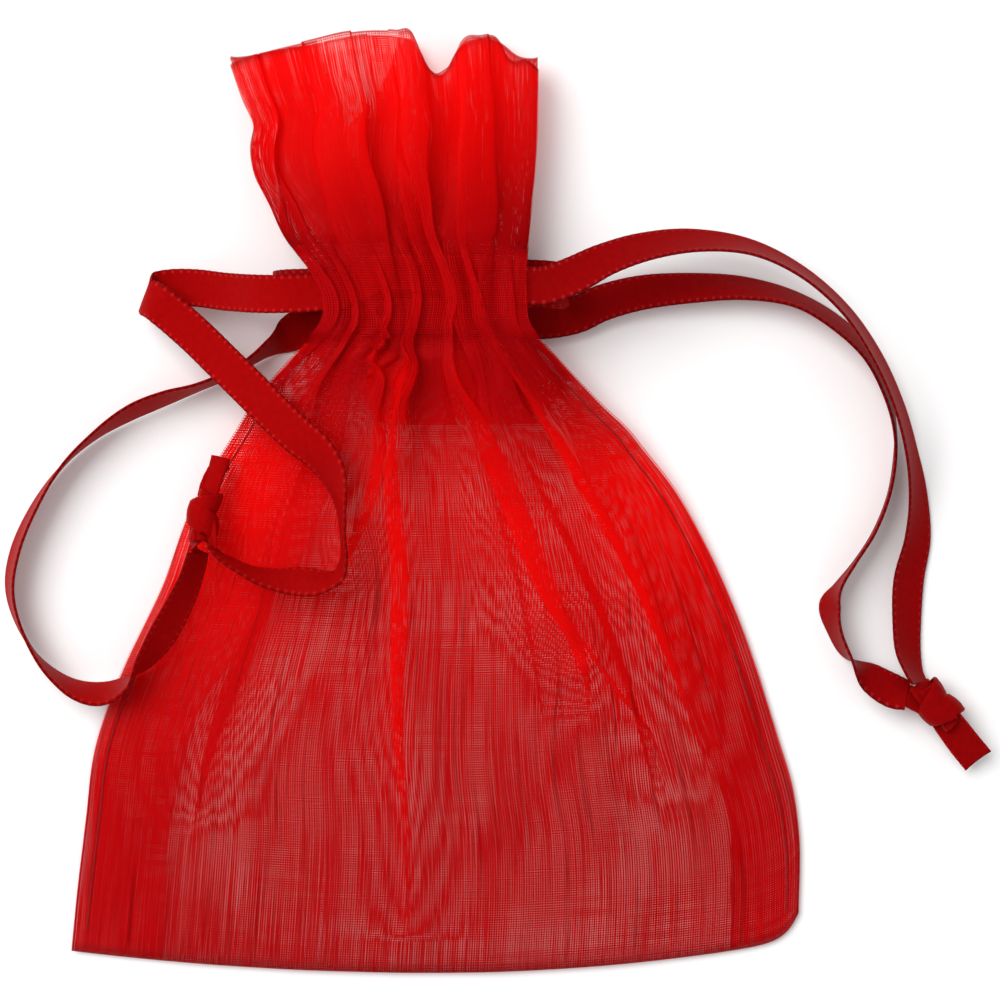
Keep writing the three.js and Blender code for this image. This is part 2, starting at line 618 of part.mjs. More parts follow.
addPiece("pouch_cloth", pouchGeometry(), ORGANZA);
addPiece("channel_thread_lower", threadGeometry(false), THREAD);
addPiece("channel_thread_upper", threadGeometry(true), THREAD);
addPiece("left_ribbon", stripGeometry(LEFT_RIBBON, RIBBON_WIDTH, RIBBON_THICKNESS), SATIN);
addPiece("left_ribbon_knot", knotGeometry(LEFT_KNOT), SATIN);
addPiece("right_ribbon", stripGeometry(RIGHT_RIBBON, RIBBON_WIDTH, RIBBON_THICKNESS), SATIN);
addPiece("right_ribbon_knot", knotGeometry(RIGHT_KNOT), SATIN);

export default pouch;
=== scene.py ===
# %% [markdown]
# This lesson dresses a small drawstring gift pouch of red organza, drawn shut and lying flat on its
# back. Organza is a thin plain weave of stiff, smooth filament, so the cloth is see-through wherever it
# lies in one or two layers and turns a full red where gathers and hems pile it up. Two narrow satin
# ribbons run through the hem and end in knots.

# %% Load the frame
import math

import bpy
import numpy as np
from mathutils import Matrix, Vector


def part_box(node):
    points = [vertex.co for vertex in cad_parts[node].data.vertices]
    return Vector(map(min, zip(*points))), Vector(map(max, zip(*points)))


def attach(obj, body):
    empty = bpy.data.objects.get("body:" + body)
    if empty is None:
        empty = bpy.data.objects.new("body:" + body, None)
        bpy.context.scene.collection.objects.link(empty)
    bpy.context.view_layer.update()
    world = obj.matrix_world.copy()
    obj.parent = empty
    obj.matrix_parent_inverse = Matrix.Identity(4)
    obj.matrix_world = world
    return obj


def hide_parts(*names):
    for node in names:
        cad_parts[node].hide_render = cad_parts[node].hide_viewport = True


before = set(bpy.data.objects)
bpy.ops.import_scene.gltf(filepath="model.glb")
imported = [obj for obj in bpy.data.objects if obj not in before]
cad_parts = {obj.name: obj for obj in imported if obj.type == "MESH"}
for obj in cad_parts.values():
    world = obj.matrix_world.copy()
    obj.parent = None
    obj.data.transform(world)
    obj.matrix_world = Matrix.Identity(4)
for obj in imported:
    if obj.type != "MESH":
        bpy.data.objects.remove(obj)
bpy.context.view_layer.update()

# %% [markdown]
# Lengths below are in millimetres, because cloth and ribbon are measured that way, and one factor turns
# them into Blender's metres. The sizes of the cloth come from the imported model: its box, and the two
# rows of stitching that close the channel above and below.

# %% Sizes from the frame
MM = 0.001


def box_mm(node):
    low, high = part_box(node)
    return np.array(low) / MM, np.array(high) / MM


cloth_low, cloth_high = box_mm("pouch_cloth")
thread_low, thread_high = box_mm("channel_thread_lower")
CLOTH_WIDTH = cloth_high[0] - cloth_low[0]
BASE_Y = cloth_low[1]
TOP_Y = cloth_high[1]
CHANNEL_BOTTOM = (thread_low[1] + thread_high[1]) / 2
CHANNEL_TOP = sum(v[1] for v in box_mm("channel_thread_upper")) / 2
THREAD_DIAMETER = thread_high[1] - thread_low[1]
HEM_BELOW_CHANNEL = 7.8
HEM_EDGE = CHANNEL_BOTTOM - HEM_BELOW_CHANNEL
print(f"cloth {CLOTH_WIDTH:.1f} wide, channel from {CHANNEL_BOTTOM:.1f} to {CHANNEL_TOP:.1f}")

# %% [markdown]
# The camera looks straight down, as the photograph does. It is a 100 mm lens at about 27 cm, which is
# the distance at which the frame is as wide as the view of the pouch with its ribbons spread out.

# %% Camera
CAMERA_AT = (6.285, 0.0, 268.6)
LENS = 100
SENSOR_WIDTH = 36


def add_camera():
    data = bpy.data.cameras.new("overhead_camera")
    data.lens = LENS
    data.sensor_width = SENSOR_WIDTH
    camera = bpy.data.objects.new("overhead_camera", data)
    camera.location = [v * MM for v in CAMERA_AT]
    bpy.context.scene.collection.objects.link(camera)
    bpy.context.scene.camera = camera
    return camera


print("camera at", tuple(round(v, 4) for v in add_camera().location))

# %% [markdown]
# A mesh is made from rows of points. Every soft piece here is such a grid: a panel of cloth is rows from
# the bottom to the top, and a ribbon is rings along its route. One helper builds the object and writes a
# UV map in millimetres, across and along the cloth, so that the weave keeps its true size on every fold.

# %% Helpers for meshes
def curve_through(pairs, at):
    """A smooth curve through (place, value) pairs, read at many places."""
    place, value = np.array(pairs, float).T
    slope = np.gradient(value, place)
    at = np.clip(np.asarray(at, float), place[0], place[-1])
    i = np.clip(np.searchsorted(place, at) - 1, 0, len(place) - 2)
    span = place[i + 1] - place[i]
    s = (at - place[i]) / span
    keep = 2 * s**3 - 3 * s**2 + 1
    lead = (s**3 - 2 * s**2 + s) * slope[i] + (s**3 - s**2) * slope[i + 1]
    return keep * value[i] + (1 - keep) * value[i + 1] + span * lead


def smoothstep(low, high, at):
    s = np.clip((np.asarray(at, float) - low) / (high - low), 0, 1)
    return s * s * (3 - 2 * s)


def lerp(a, b, share):
    return a + (b - a) * share


def grid_faces(rows, columns, closed=False):
    """Four-sided faces of a grid of points; a closed grid joins its last column to its first."""
    r, c = np.meshgrid(np.arange(rows - 1), np.arange(columns if closed else columns - 1), indexing="ij")
    a = r * columns + c
    b = r * columns + (c + 1) % columns
    return np.stack([a, b, b + columns, a + columns], axis=-1).reshape(-1, 4)


def add_piece(name, points, faces, uv, attributes=()):
    mesh = bpy.data.meshes.new(name)
    mesh.from_pydata((np.asarray(points) * MM).tolist(), [], [list(map(int, f)) for f in faces])
    corner = np.zeros(len(mesh.loops), np.int32)
    mesh.loops.foreach_get("vertex_index", corner)
    layer = mesh.uv_layers.new(name="weave_mm")
    layer.data.foreach_set("uv", np.asarray(uv, np.float32)[corner].ravel())
    for key in attributes:
        attribute = mesh.attributes.new(key, "FLOAT", "POINT")
        attribute.data.foreach_set("value", np.asarray(attributes[key], np.float32))
    mesh.shade_smooth()
    piece = bpy.data.objects.new(name, mesh)
    bpy.context.scene.collection.objects.link(piece)
    print(f"{name}: {len(mesh.vertices)} points, {sum(len(f) - 2 for f in faces)} triangles")
    return piece


# %% [markdown]
# Each drawstring is one satin ribbon. From its knot it runs up one tail, through the channel in the
# front, round the far side of the neck, back through the channel in the back and down the other tail to
# the knot. A point of the route holds x, y, z and the direction across the ribbon, because a flat ribbon
# turns on its edge where it bends sideways.

# %% Routes of the ribbons
RIBBON_WIDTH = 3.6
LEFT_RIBBON = [
    [-20.9, -4.6, 5.4, 0.35, -0.3, 0.9], [-20.0, -5.3, 5.7, 0.3, -0.3, 0.9],
    [-17.6, -6.6, 6.6, 0.1, -0.3, 0.95], [-15.3, -7.3, 7.2, 0, -0.5, 0.85],
    [-12.6, -7.6, 7.8, 0, -0.7, 0.7], [-10.2, -7.7, 8.8, -0.2, -0.6, 0.8],
    [-8.8, -7.0, 9.3, 0.3, -0.2, 0.95], [-8.3, -5.6, 9.6, 0.2, 0, 1],
    [-8.4, -3.3, 9.8, 0.15, 0, 1], [-8.6, -0.5, 9.8, 0.3, 0.1, 0.95],
    [-9.3, 2.3, 9.8, 0.6, 0.5, 0.7], [-10.8, 4.5, 9.6, 0.75, 0.6, 0.4],
    [-12.5, 5.9, 9.2, 0.7, 0.68, 0.2], [-14.8, 8.0, 8.4, 0.68, 0.72, 0.1],
    [-17.1, 10.3, 7.4, 0.68, 0.72, 0], [-19.8, 12.9, 6.2, 0.67, 0.74, 0],
    [-22.5, 15.5, 5.1, 0.67, 0.74, 0], [-24.8, 17.5, 4.4, 0.66, 0.75, 0.05],
    [-26.6, 18.9, 4, 0.55, 0.83, 0.15], [-27.6, 19.5, 2.9, 0.4, 0.86, 0.3],
    [-26.9, 20.1, 1.7, 0.2, 0.95, 0.2], [-25.1, 20.4, 1.6, 0.1, 1, 0.05],
    [-22.8, 20.3, 2.5, 0.03, 1, 0], [-19.8, 19.8, 4.6, 0, 1, 0],
    [-16.6, 19.4, 7.3, 0, 1, 0], [-14.4, 19.3, 8.35, 0, 1, 0],
    [-11.5, 19.4, 8.5, 0, 1, 0], [-8.2, 19.8, 8.5, 0, 1, 0],
    [-5.2, 21.2, 8.5, 0, 1, 0], [-2.2, 21.3, 8.5, 0, 1, 0],
    [0.8, 21.3, 7.9, 0, 1, 0], [5.3, 21.2, 7.9, 0, 1, 0],
    [8.3, 19.9, 7.9, 0, 1, 0], [10, 19.9, 7.9, 0, 1, 0],
    [11.5, 19.8, 7.3, 0, 1, 0], [12.5, 20.0, 5.6, 0, 1, 0],
    [12.5, 20.7, 3.6, 0, 1, 0], [11.5, 21.1, 1.9, 0, 1, 0],
    [10, 21.3, 1.35, 0, 1, 0], [5, 21.2, 1.3, 0, 1, 0],
    [0, 19.4, 1.3, 0, 1, 0], [-5, 17.5, 1.3, 0, 1, 0],
    [-10, 17.3, 1.3, 0, 1, 0], [-12.4, 16.8, 1.3, 0, 1, 0],
    [-14.2, 15.7, 1.5, 0.3, 0.9, 0.25], [-15.9, 14.5, 2, 0.4, 0.6, 0.7],
    [-17.9, 13.1, 2.1, 0.3, 0.3, 0.9], [-20.4, 11.7, 2.1, 0.1, 0.15, 1],
    [-22.9, 10.7, 2.1, 0.05, 0.15, 1], [-25.9, 9.7, 2.1, 0.1, 0.35, 0.93],
    [-29.2, 8.3, 2.1, 0.25, 0.45, 0.87], [-32.6, 6.1, 2.1, 0.35, 0.35, 0.87],
    [-35.8, 3.1, 2.1, 0.35, 0.25, 0.9], [-38.4, -0.8, 2.1, 0.4, 0.15, 0.9],
    [-40.2, -5.0, 2.1, 0.4, 0.05, 0.9], [-40.7, -8.6, 2.1, 0.35, -0.05, 0.93],
    [-39.7, -12.3, 2.1, 0.3, -0.15, 0.94], [-37.5, -15.8, 2.1, 0.25, -0.3, 0.92],
    [-34.6, -18.0, 2.1, 0.1, -0.45, 0.89], [-31.7, -18.5, 2.5, -0.15, -0.6, 0.79],
    [-29.2, -17.3, 3.2, -0.4, -0.6, 0.7], [-27.2, -14.9, 3.7, -0.7, -0.3, 0.65],
    [-25.5, -12.2, 4, -0.8, -0.3, 0.5], [-23.9, -9.2, 4.5, -0.75, -0.3, 0.6],
    [-22.9, -6.8, 5, -0.6, -0.2, 0.8], [-22.4, -5.0, 5.2, -0.5, -0.1, 0.9],
]
RIGHT_RIBBON = [
    [46.5, -17.6, 2.1, -0.48, -0.1, 0.87], [46, -16.6, 1.8, -0.55, -0.1, 0.83],
    [45.5, -14.6, 1.4, -0.75, -0.07, 0.66], [45.4, -11.6, 1.2, -0.84, 0, 0.54],
    [45.6, -7.7, 1.15, -0.88, 0, 0.47], [46.4, -3.8, 1.35, -0.78, 0.04, 0.62],
    [46.4, 0, 1.8, -0.6, -0.03, 0.79], [45.6, 4.3, 3.2, -0.42, -0.1, 0.9],
    [44.2, 8.8, 4.6, -0.36, -0.17, 0.92], [42, 13.6, 5.1, -0.33, -0.22, 0.92],
    [39, 18, 5.2, -0.25, -0.26, 0.93], [34.9, 21.6, 5.2, -0.17, -0.34, 0.93],
    [30.1, 23.9, 5.4, -0.08, -0.48, 0.88], [24.7, 24.5, 6, 0, -0.66, 0.75],
    [19.9, 23.8, 7.2, 0.08, -0.78, 0.62], [16.1, 22.5, 8.2, 0.15, -0.88, 0.45],
    [13.3, 21.1, 8.6, 0.15, -1, 0.15], [10.5, 20.1, 8.5, 0, -1, 0],
    [6.8, 19.9, 8.5, 0, -1, 0], [3.8, 17.35, 8.5, 0, -1, 0],
    [0.8, 17.25, 8.5, 0, -1, 0], [-2.2, 17.25, 7.9, 0, -1, 0],
    [-6.7, 17.35, 7.9, 0, -1, 0], [-9.7, 19.9, 7.9, 0, -1, 0],
    [-12, 19.9, 7.9, 0, -1, 0], [-13.9, 19.9, 7.2, 0, -1, 0],
    [-15, 19.9, 5.6, 0, -1, 0], [-15, 19.9, 4.2, 0, -1, 0],
    [-13.9, 19.9, 2.6, 0, -1, 0], [-12, 19.9, 1.95, 0, -1, 0],
    [-8, 19.8, 1.9, 0, -1, 0], [-3, 18.9, 1.9, 0, -1, 0],
    [2, 17.6, 1.9, 0, -1, 0], [6, 17.3, 1.9, 0, -1, 0],
    [10.6, 17.25, 1.9, 0, -1, 0], [13.6, 17.8, 1.9, 0.1, -1, 0.05],
    [16, 18.9, 2, 0.15, -0.95, 0.15], [19.7, 19.9, 2, 0.05, -0.95, 0.3],
    [24.5, 20.4, 1.8, 0, -0.85, 0.53], [29.8, 20.4, 1.6, -0.08, -0.67, 0.74],
    [34.7, 19.3, 1.8, -0.15, -0.46, 0.88], [38.4, 17.2, 1.8, -0.28, -0.4, 0.88],
    [41.6, 14.2, 1.9, -0.33, -0.33, 0.88], [43.4, 10.4, 2, -0.28, -0.15, 0.94],
    [44.2, 6.9, 2.1, -0.18, -0.03, 0.97], [44.2, 3.6, 2.1, -0.1, 0, 1],
    [43.6, 0.3, 2.1, -0.1, 0, 1], [42.2, -3.2, 2.1, -0.08, 0, 1],
    [40.4, -6, 2.1, -0.07, 0, 1], [38.8, -8.3, 2.1, 0.08, -0.05, 1],
    [38, -10.2, 2, 0.45, -0.12, 0.88], [38.5, -12.7, 2, 0.26, 0.05, 0.96],
    [39.7, -15.0, 2, 0.1, 0, 1], [42, -17.1, 2, -0.4, -0.7, 0.6],
    [44, -18.3, 2, -0.4, -0.8, 0.4], [45.4, -18.7, 2.1, -0.3, -0.7, 0.6],
]
# Where each ribbon goes into the channel and comes out of it again, as places in its list of points
LEFT_MOUTHS = (27, 42)
RIGHT_MOUTHS = (18, 33)
print("route points:", len(LEFT_RIBBON), len(RIGHT_RIBBON))

# %% [markdown]
# A ribbon's route is made smooth with a Catmull-Rom curve, which passes through every point that was
# set. Around each step of it goes a section like the real ribbon's: thin, a little cupped, with a
# rounded, beaded selvedge at both sides. The strip is cut into three pieces, two free tails and the run
# that the channel holds, and the length of each is found along its centreline.

# %% Ribbons
STEPS_PER_POINT = 16
SECTION_POINTS = 15
RIBBON_THICKNESS = 0.24
SELVEDGE_THICKNESS = 0.3
SELVEDGE_PITCH = 0.77
SELVEDGE_BEAD = 0.015
CUP = 0.12


def smooth_route(points, steps):
    """Catmull-Rom curve through given points, with steps between each two of them."""
    p = np.array(points, float)
    p = np.vstack([2 * p[0] - p[1], p, 2 * p[-1] - p[-2]])
    w = np.repeat(np.arange(len(p) - 3), steps)
    s = np.tile(np.arange(steps) / steps, len(p) - 3)[:, None]
    p0, p1, p2, p3 = p[w], p[w + 1], p[w + 2], p[w + 3]
    pairs = (p0, p1), (p1, p2), (p2, p3)
    d0, d1, d2 = [np.sqrt(np.linalg.norm((b - a)[:, :3], axis=1))[:, None] for a, b in pairs]
    m1 = d1 * ((p1 - p0) / d0 - (p2 - p0) / (d0 + d1) + (p2 - p1) / d1)
    m2 = d1 * ((p2 - p1) / d1 - (p3 - p1) / (d1 + d2) + (p3 - p2) / d2)
    curve = p1 + m1 * s + (3 * (p2 - p1) - 2 * m1 - m2) * s**2 + (2 * (p1 - p2) + m1 + m2) * s**3
    return np.vstack([curve, p[-2]])


def ribbon_section(width, cup):
    """(across, up) points round the section, over the top from right to left and back underneath."""
    across = np.sin(np.linspace(-1, 1, SECTION_POINTS) * math.pi / 2) * width / 2
    share = np.abs(across) / (width / 2)
    half = lerp(RIBBON_THICKNESS, SELVEDGE_THICKNESS, smoothstep(0.72, 0.9, share)) / 2
    half *= np.sqrt(np.clip(1 - smoothstep(0.9, 1, share) ** 2, 0, 1))
    bend = cup * (share**2 - 0.4)
    top = np.column_stack([across, bend + half])
    bottom = np.column_stack([across, bend - half])[::-1]
    return np.vstack([top, bottom[1:-1]])


def unit(vectors):
    return vectors / np.linalg.norm(vectors, axis=1)[:, None]


def run_along(path):
    """How far along a path each of its points lies."""
    return np.concatenate([[0], np.cumsum(np.linalg.norm(np.diff(path, axis=0), axis=1))])


def strip_rings(route, width, cup):
    """Rings of points along a route, how far along the ribbon each one lies, and their section."""
    centre = route[:, :3]
    along = unit(np.gradient(centre, axis=0))
    side = unit(route[:, 3:] - np.sum(route[:, 3:] * along, axis=1)[:, None] * along)
    up = np.cross(along, side)
    run = run_along(centre)
    shape = ribbon_section(width, cup)
    at_edge = smoothstep(0.8, 1, np.abs(shape[:, 0]) / (width / 2))[None, :]
    beads = np.cos(2 * math.pi * run / SELVEDGE_PITCH)[:, None] * at_edge * SELVEDGE_BEAD
    across = shape[None, :, 0] * (1 + beads / (width / 2))
    rings = centre[:, None] + across[..., None] * side[:, None] + shape[None, :, 1, None] * up[:, None]
    return rings, run, shape


def end_caps(rows, columns):
    """Faces that close both ends of a flat tube, joining each top point to the one under it."""
    last, half = (rows - 1) * columns, columns // 2
    faces = []
    for i in range(half):
        corners = [i, i + 1, columns - i - 1, (columns - i) % columns]
        if i == 0:
            corners = corners[:3]
        elif i == half - 1:
            corners = [i, i + 1, (columns - i) % columns]
        faces.append(corners)
        faces.append([last + v for v in corners[::-1]])
    return faces


def strip_arrays(rings, run, shape):
    """Points, faces and cloth coordinates of a closed strip of ribbon with both ends capped."""
    rows, columns = rings.shape[:2]
    faces = grid_faces(rows, columns, closed=True)[:, ::-1].tolist() + end_caps(rows, columns)
    uv = np.stack(np.broadcast_arrays(shape[None, :, 0], run[:, None]), axis=-1)
    return rings.reshape(-1, 3), faces, uv.reshape(-1, 2)


def add_ribbon(label, points, mouths):
    """The three pieces of a drawstring, each with its centreline and length."""
    route = smooth_route(points, STEPS_PER_POINT)
    rings, run, shape = strip_rings(route, RIBBON_WIDTH, CUP)
    cuts = [0, mouths[0] * STEPS_PER_POINT, mouths[1] * STEPS_PER_POINT, len(route) - 1]
    made = []
    for part, start, end in zip(("upper_tail", "channel_run", "lower_tail"), cuts[:-1], cuts[1:]):
        held = slice(start, end + 1)
        piece = add_piece(f"{label}_{part}", *strip_arrays(rings[held], run[held], shape))
        made.append((piece, route[held, :3], run[end] - run[start]))
        print(f"  {part} {run[end] - run[start]:.0f} mm long")
    return made


left_pieces = add_ribbon("left_ribbon", LEFT_RIBBON, LEFT_MOUTHS)
right_pieces = add_ribbon("right_ribbon", RIGHT_RIBBON, RIGHT_MOUTHS)

# %% [markdown]
# The cloth is one strip: folded at the bottom, sewn up both sides and turned in at the top as a deep
# hem. Seen flat, each panel is as wide as the pouch. Where the drawstrings pull it in, the same width of
# cloth has to fit in a third of the space, so it stands in folds. A row of cloth is therefore drawn by
# its direction: along a row the cloth turns up and down by an angle, and adding up the cosine of that
# angle gives the place across. The angle's size in each row is found by halving, until the folded cloth
# is as wide as the outline of the pouch there. Tight rows then fold back over themselves by themselves,
# as real gathers do.

# %% The outline of the pouch
LEFT_SIDE = [
    [-46, -35.1], [-38.7, -34.4], [-32.9, -33.7], [-25.1, -32.7], [-17.4, -30.0], [-9.6, -26.4],
    [-1.0, -23.2], [5.8, -19.2], [9.5, -16.9], [12.2, -14.6], [14.7, -12.2], [16.6, -10.6], [19, -10.4],
    [21.4, -11.5], [24.4, -13.7], [29.2, -15.7], [32.7, -17.1], [35.3, -17.4], [38, -17.1],
    [41.7, -18.3], [46, -19.5],
]
RIGHT_SIDE = [
    [-46, 35.1], [-36.7, 35.1], [-32.9, 34.6], [-27.1, 33.1], [-19.3, 30.9], [-13.5, 29.0], [-5.8, 25.8],
    [0, 22.7], [4.0, 19.8], [5.8, 18.5], [7.7, 16.6], [11.5, 13.2], [13.4, 11.6], [14.9, 10.3],
    [16.6, 9.1], [19, 8.8], [23.8, 8.9], [28, 9.2], [35, 9.7], [46, 9.9],
]
# How far the bottom fold climbs at its left and right end, and by how much the right corner is cut off
BASE_RISE = (2.1, 3.2)
CORNER_ROUND = 2.6
FRONT_TIP = [
    [-19.5, 41.3], [-15.4, 42.3], [-11.1, 43.2], [-8.5, 43.8], [-5.9, 44.1], [-3.5, 44.0], [-1.9, 43.7],
    [-1.1, 41.9], [0.1, 40.1], [1, 40.4], [1.8, 41.2], [2.6, 42.9], [4.4, 43.6], [6.2, 43.3], [7, 41.8],
    [8.9, 41.6], [10, 41],
]
BACK_TIP = [
    [-19.5, 42.3], [-15.4, 43.3], [-11.1, 44.0], [-5.9, 44.8], [-3.5, 44.6], [-1.9, 44.0], [-0.4, 41.4],
    [0.8, 41.0], [2.2, 43.4], [4.4, 44.4], [6.2, 44.1], [8, 42.7], [10, 42.2],
]
COLUMNS = 400
BODY_ROWS, CHANNEL_ROWS, FRILL_ROWS = 70, 36, 44


def row_places():
    """Rows from the bottom fold to the free edge, closer together at the channel."""
    body = BASE_Y + (CHANNEL_BOTTOM - 2 - BASE_Y) * np.linspace(0, 1, BODY_ROWS) ** 0.93
    channel = np.linspace(CHANNEL_BOTTOM - 1.6, CHANNEL_TOP + 1.6, CHANNEL_ROWS)
    frill = np.linspace(CHANNEL_TOP + 2, TOP_Y, FRILL_ROWS)
    return np.concatenate([body, channel, frill])


# What differs from row to row is held as one column, what differs along a row as one row
ROWS = row_places()[:, None]
SHARES = np.linspace(0, 1, COLUMNS)
LEFT_X = curve_through(LEFT_SIDE, ROWS)
RIGHT_X = curve_through(RIGHT_SIDE, ROWS)
IN_BODY = ROWS < CHANNEL_BOTTOM
FRILL_SHARE = np.clip((ROWS - CHANNEL_TOP) / (TOP_Y - CHANNEL_TOP), 0, 1)
BELOW_NECK = np.clip(CHANNEL_BOTTOM - ROWS, 0, None)
DOWN_BODY = BELOW_NECK / (CHANNEL_BOTTOM - BASE_Y)
print(f"{len(ROWS)} rows, {RIGHT_X.min() - LEFT_X.max():.1f} mm wide at the neck")

# %% [markdown]
# Three kinds of fold share the spare width. Fine gathers start at the stitching and die out in a few
# millimetres of body. Deeper pleats run for a few centimetres down the body, and on their way through
# the channel they give way to fewer and wider ones in the frill. What is still spare in the body lies as
# flat folds, three layers thick, along lines that are given from the neck to where each one opens
# out. Folding shifts the cloth only near each fold: its mean place across stays put from row to row, so
# that no fold drifts sideways.

# %% Folds of the panels
FINE_GATHERS = 14
BODY_PLEATS = 7
FRILL_PLEATS = 4
DRIFT_COLUMNS = 141
STEEPEST = 2.15
HALVINGS = 12
# How far the fine gathers reach, in mm below the stitching and as a share of the frill above it
GATHERS_REACH_DOWN = 6.5
GATHERS_REACH_UP = 0.33
# A flat fold turns back this softly, lifts the cloth by its layers and its crest by a little more, and
# past the fold the cloth comes down again over this distance
FOLD_SOFTNESS = 0.45
LAYERS_LIFT = 0.34
CREST_LIFT = 0.6
FOLD_SETTLES = 5
# Each flat fold is a line of [y, x, width]
FRONT_FOLDS = [
    [[19, -5.2, 0], [9.4, -5.2, 2.6], [2.8, -6.0, 2.4], [-2.4, -7.3, 1.9], [-5.7, -8.4, 0.9],
     [-10, -9.4, 0]],
    [[19, -2.6, 0], [9.4, -3.0, 2.6], [1.9, -3.2, 2.6], [-5.3, -3.1, 2.2], [-23, -3.3, 1.6],
     [-31.2, -2.6, 1], [-42.3, -2.5, 0.4]],
    [[19, 1.0, 0], [10.4, 2.8, 2.4], [6.3, 4.6, 5.0], [-1.9, 8.0, 6.2], [-10.5, 11.4, 5.0],
     [-13.3, 12.6, 3.4], [-17, 13.8, 1.2], [-22, 14.5, 0]],
    [[-8, 13.6, 0], [-13.3, 15.4, 1.2], [-19.1, 17.8, 1.3], [-22.6, 20.2, 0.8], [-30, 22.6, 0]],
    [[19, 4.4, 0], [9, 9.6, 1.2], [3, 13.2, 1.7], [-6, 18.2, 1.5], [-16, 22.6, 1.1], [-26, 26.0, 0.5],
     [-34, 27.6, 0]],
]
BACK_FOLDS = [
    [[17, -5.6, 0], [4, -12.2, 1.4], [-8, -15.6, 2.2], [-17, -19.0, 3.4], [-24, -21.5, 1.8],
     [-34, -23.5, 0]],
    [[17, 1.6, 0], [4, 4.5, 1.0], [-8, 8.0, 0.8], [-22, 10.5, 0.4], [-36, 12, 0]],
    [[17, 4, 0], [2, 10, 1.5], [-10, 15.5, 1.6], [-22, 19.6, 0.9], [-34, 22, 0]],
]


def wander(count, amount, seed):
    """Where the folds lie along a row: evenly counted, then pushed about by a few seeded slow waves."""
    random = np.random.default_rng(seed)
    turn = 2 * math.pi * count * SHARES
    for k in (1, 2, 3, 5):
        push, lag = random.uniform(-1, 1), random.uniform(0, 6.3)
        turn = turn + amount * push * np.sin(2 * math.pi * k * SHARES + lag) / k**0.5
    return turn + random.uniform(0, 6.3)


def fold_boxes(folds):
    """For each point: how far it is turned back in a flat fold, the height climbed, how near one is."""
    back = np.zeros((len(ROWS), COLUMNS))
    climb, near = np.zeros_like(back), np.zeros_like(back)
    for line in folds:
        y, target, wide = np.array(line).T[:, ::-1]
        half = np.interp(ROWS, y, wide, left=0, right=0) / 2
        place = curve_through(np.column_stack([y, target]), ROWS)
        off = (SHARES - (place - LEFT_X) / (RIGHT_X - LEFT_X)) * CLOTH_WIDTH
        soft = np.minimum(FOLD_SOFTNESS, np.maximum(half, 1e-3) * 0.6)
        inside = smoothstep(-half - soft, -half + soft, off) * smoothstep(half + soft, half - soft, off)
        back = np.maximum(back, inside * np.clip(half / 0.3, 0, 1))
        rise = smoothstep(-half - soft, half + soft, off)
        rise = rise - smoothstep(half + 0.6, half + FOLD_SETTLES, off)
        strength = np.clip(half / 0.8, 0, 1)
        crest = np.exp(-((off / (1.5 * half + 1.2)) ** 2)) * strength
        climb += LAYERS_LIFT * rise * strength + CREST_LIFT * crest
        near = np.maximum(near, crest)
    return back, climb, near


def wave_sets(seed):
    """The three sets of waves as their summed slope and summed height for each point of a panel."""
    first, second = np.random.default_rng(seed + 5).uniform(0, 6.3, 2)
    drift = 0.16 * np.sin(0.36 * ROWS + 9 * SHARES + first)
    drift = drift + 0.08 * np.sin(0.7 * ROWS - 15 * SHARES + second)
    far = np.where(IN_BODY, BELOW_NECK / GATHERS_REACH_DOWN, FRILL_SHARE / GATHERS_REACH_UP)
    fine = np.exp(-(far**1.5)) * (0.8 + 0.3 * np.sin(11 * SHARES + first + 0.25 * ROWS))
    in_body = lerp(0.6, 0.9, smoothstep(0, 9, BELOW_NECK))
    in_frill = lerp(0.6, 0.95, smoothstep(0, 0.5, FRILL_SHARE))
    pleats = np.where(IN_BODY, in_body, in_frill)
    through = smoothstep(CHANNEL_BOTTOM + 1, CHANNEL_TOP + 5, ROWS)
    sets = (
        (fine, wander(FINE_GATHERS, 1.8, seed) + drift, FINE_GATHERS),
        (pleats * (1 - through), wander(BODY_PLEATS, 1.1, seed + 1) + drift, BODY_PLEATS),
        (pleats * through, wander(FRILL_PLEATS, 0.8, seed + 2), FRILL_PLEATS),
    )
    slope = sum(share * np.cos(turn) for share, turn, _ in sets)
    height = sum(share * np.sin(turn) / count for share, turn, count in sets)
    return slope, height


def slow_mean(across):
    """Each row's place across, averaged over a wide window of columns."""
    kernel = np.hanning(DRIFT_COLUMNS + 2)[1:-1]
    kernel /= kernel.sum()
    margin = DRIFT_COLUMNS // 2
    padded = np.pad(across, ((0, 0), (margin, margin)), mode="reflect", reflect_type="odd")
    return np.array([np.convolve(row, kernel, mode="valid") for row in padded])


def folded_rows(folds, seed):
    """Place across, height of the waves, height climbed by folds and nearness to one, for each point."""
    width = RIGHT_X - LEFT_X
    slope, height = wave_sets(seed)
    back, climb, near = fold_boxes(folds)
    low, high = np.zeros(ROWS.shape), np.full(ROWS.shape, STEEPEST)
    for _ in range(HALVINGS):
        size = (low + high) / 2
        step = np.cos(size * slope) * (1 - 2 * back)
        wide = step.mean(axis=1, keepdims=True) * CLOTH_WIDTH > width
        low, high = np.where(wide, size, low), np.where(wide, high, size)
    across = np.cumsum((step[:, 1:] + step[:, :-1]) / 2, axis=1)
    across = np.hstack([np.zeros(ROWS.shape), across])
    across *= width / across[:, -1:]
    x = LEFT_X + width * SHARES + across - slow_mean(across)
    # The height of a wave whose slope angle is this large, from the first terms of its Bessel series
    bend = size * (1 - size**2 / 8 + size**4 / 192)
    height = bend * CLOTH_WIDTH / (2 * math.pi) * height
    return np.clip(x, LEFT_X, RIGHT_X), height, climb, near


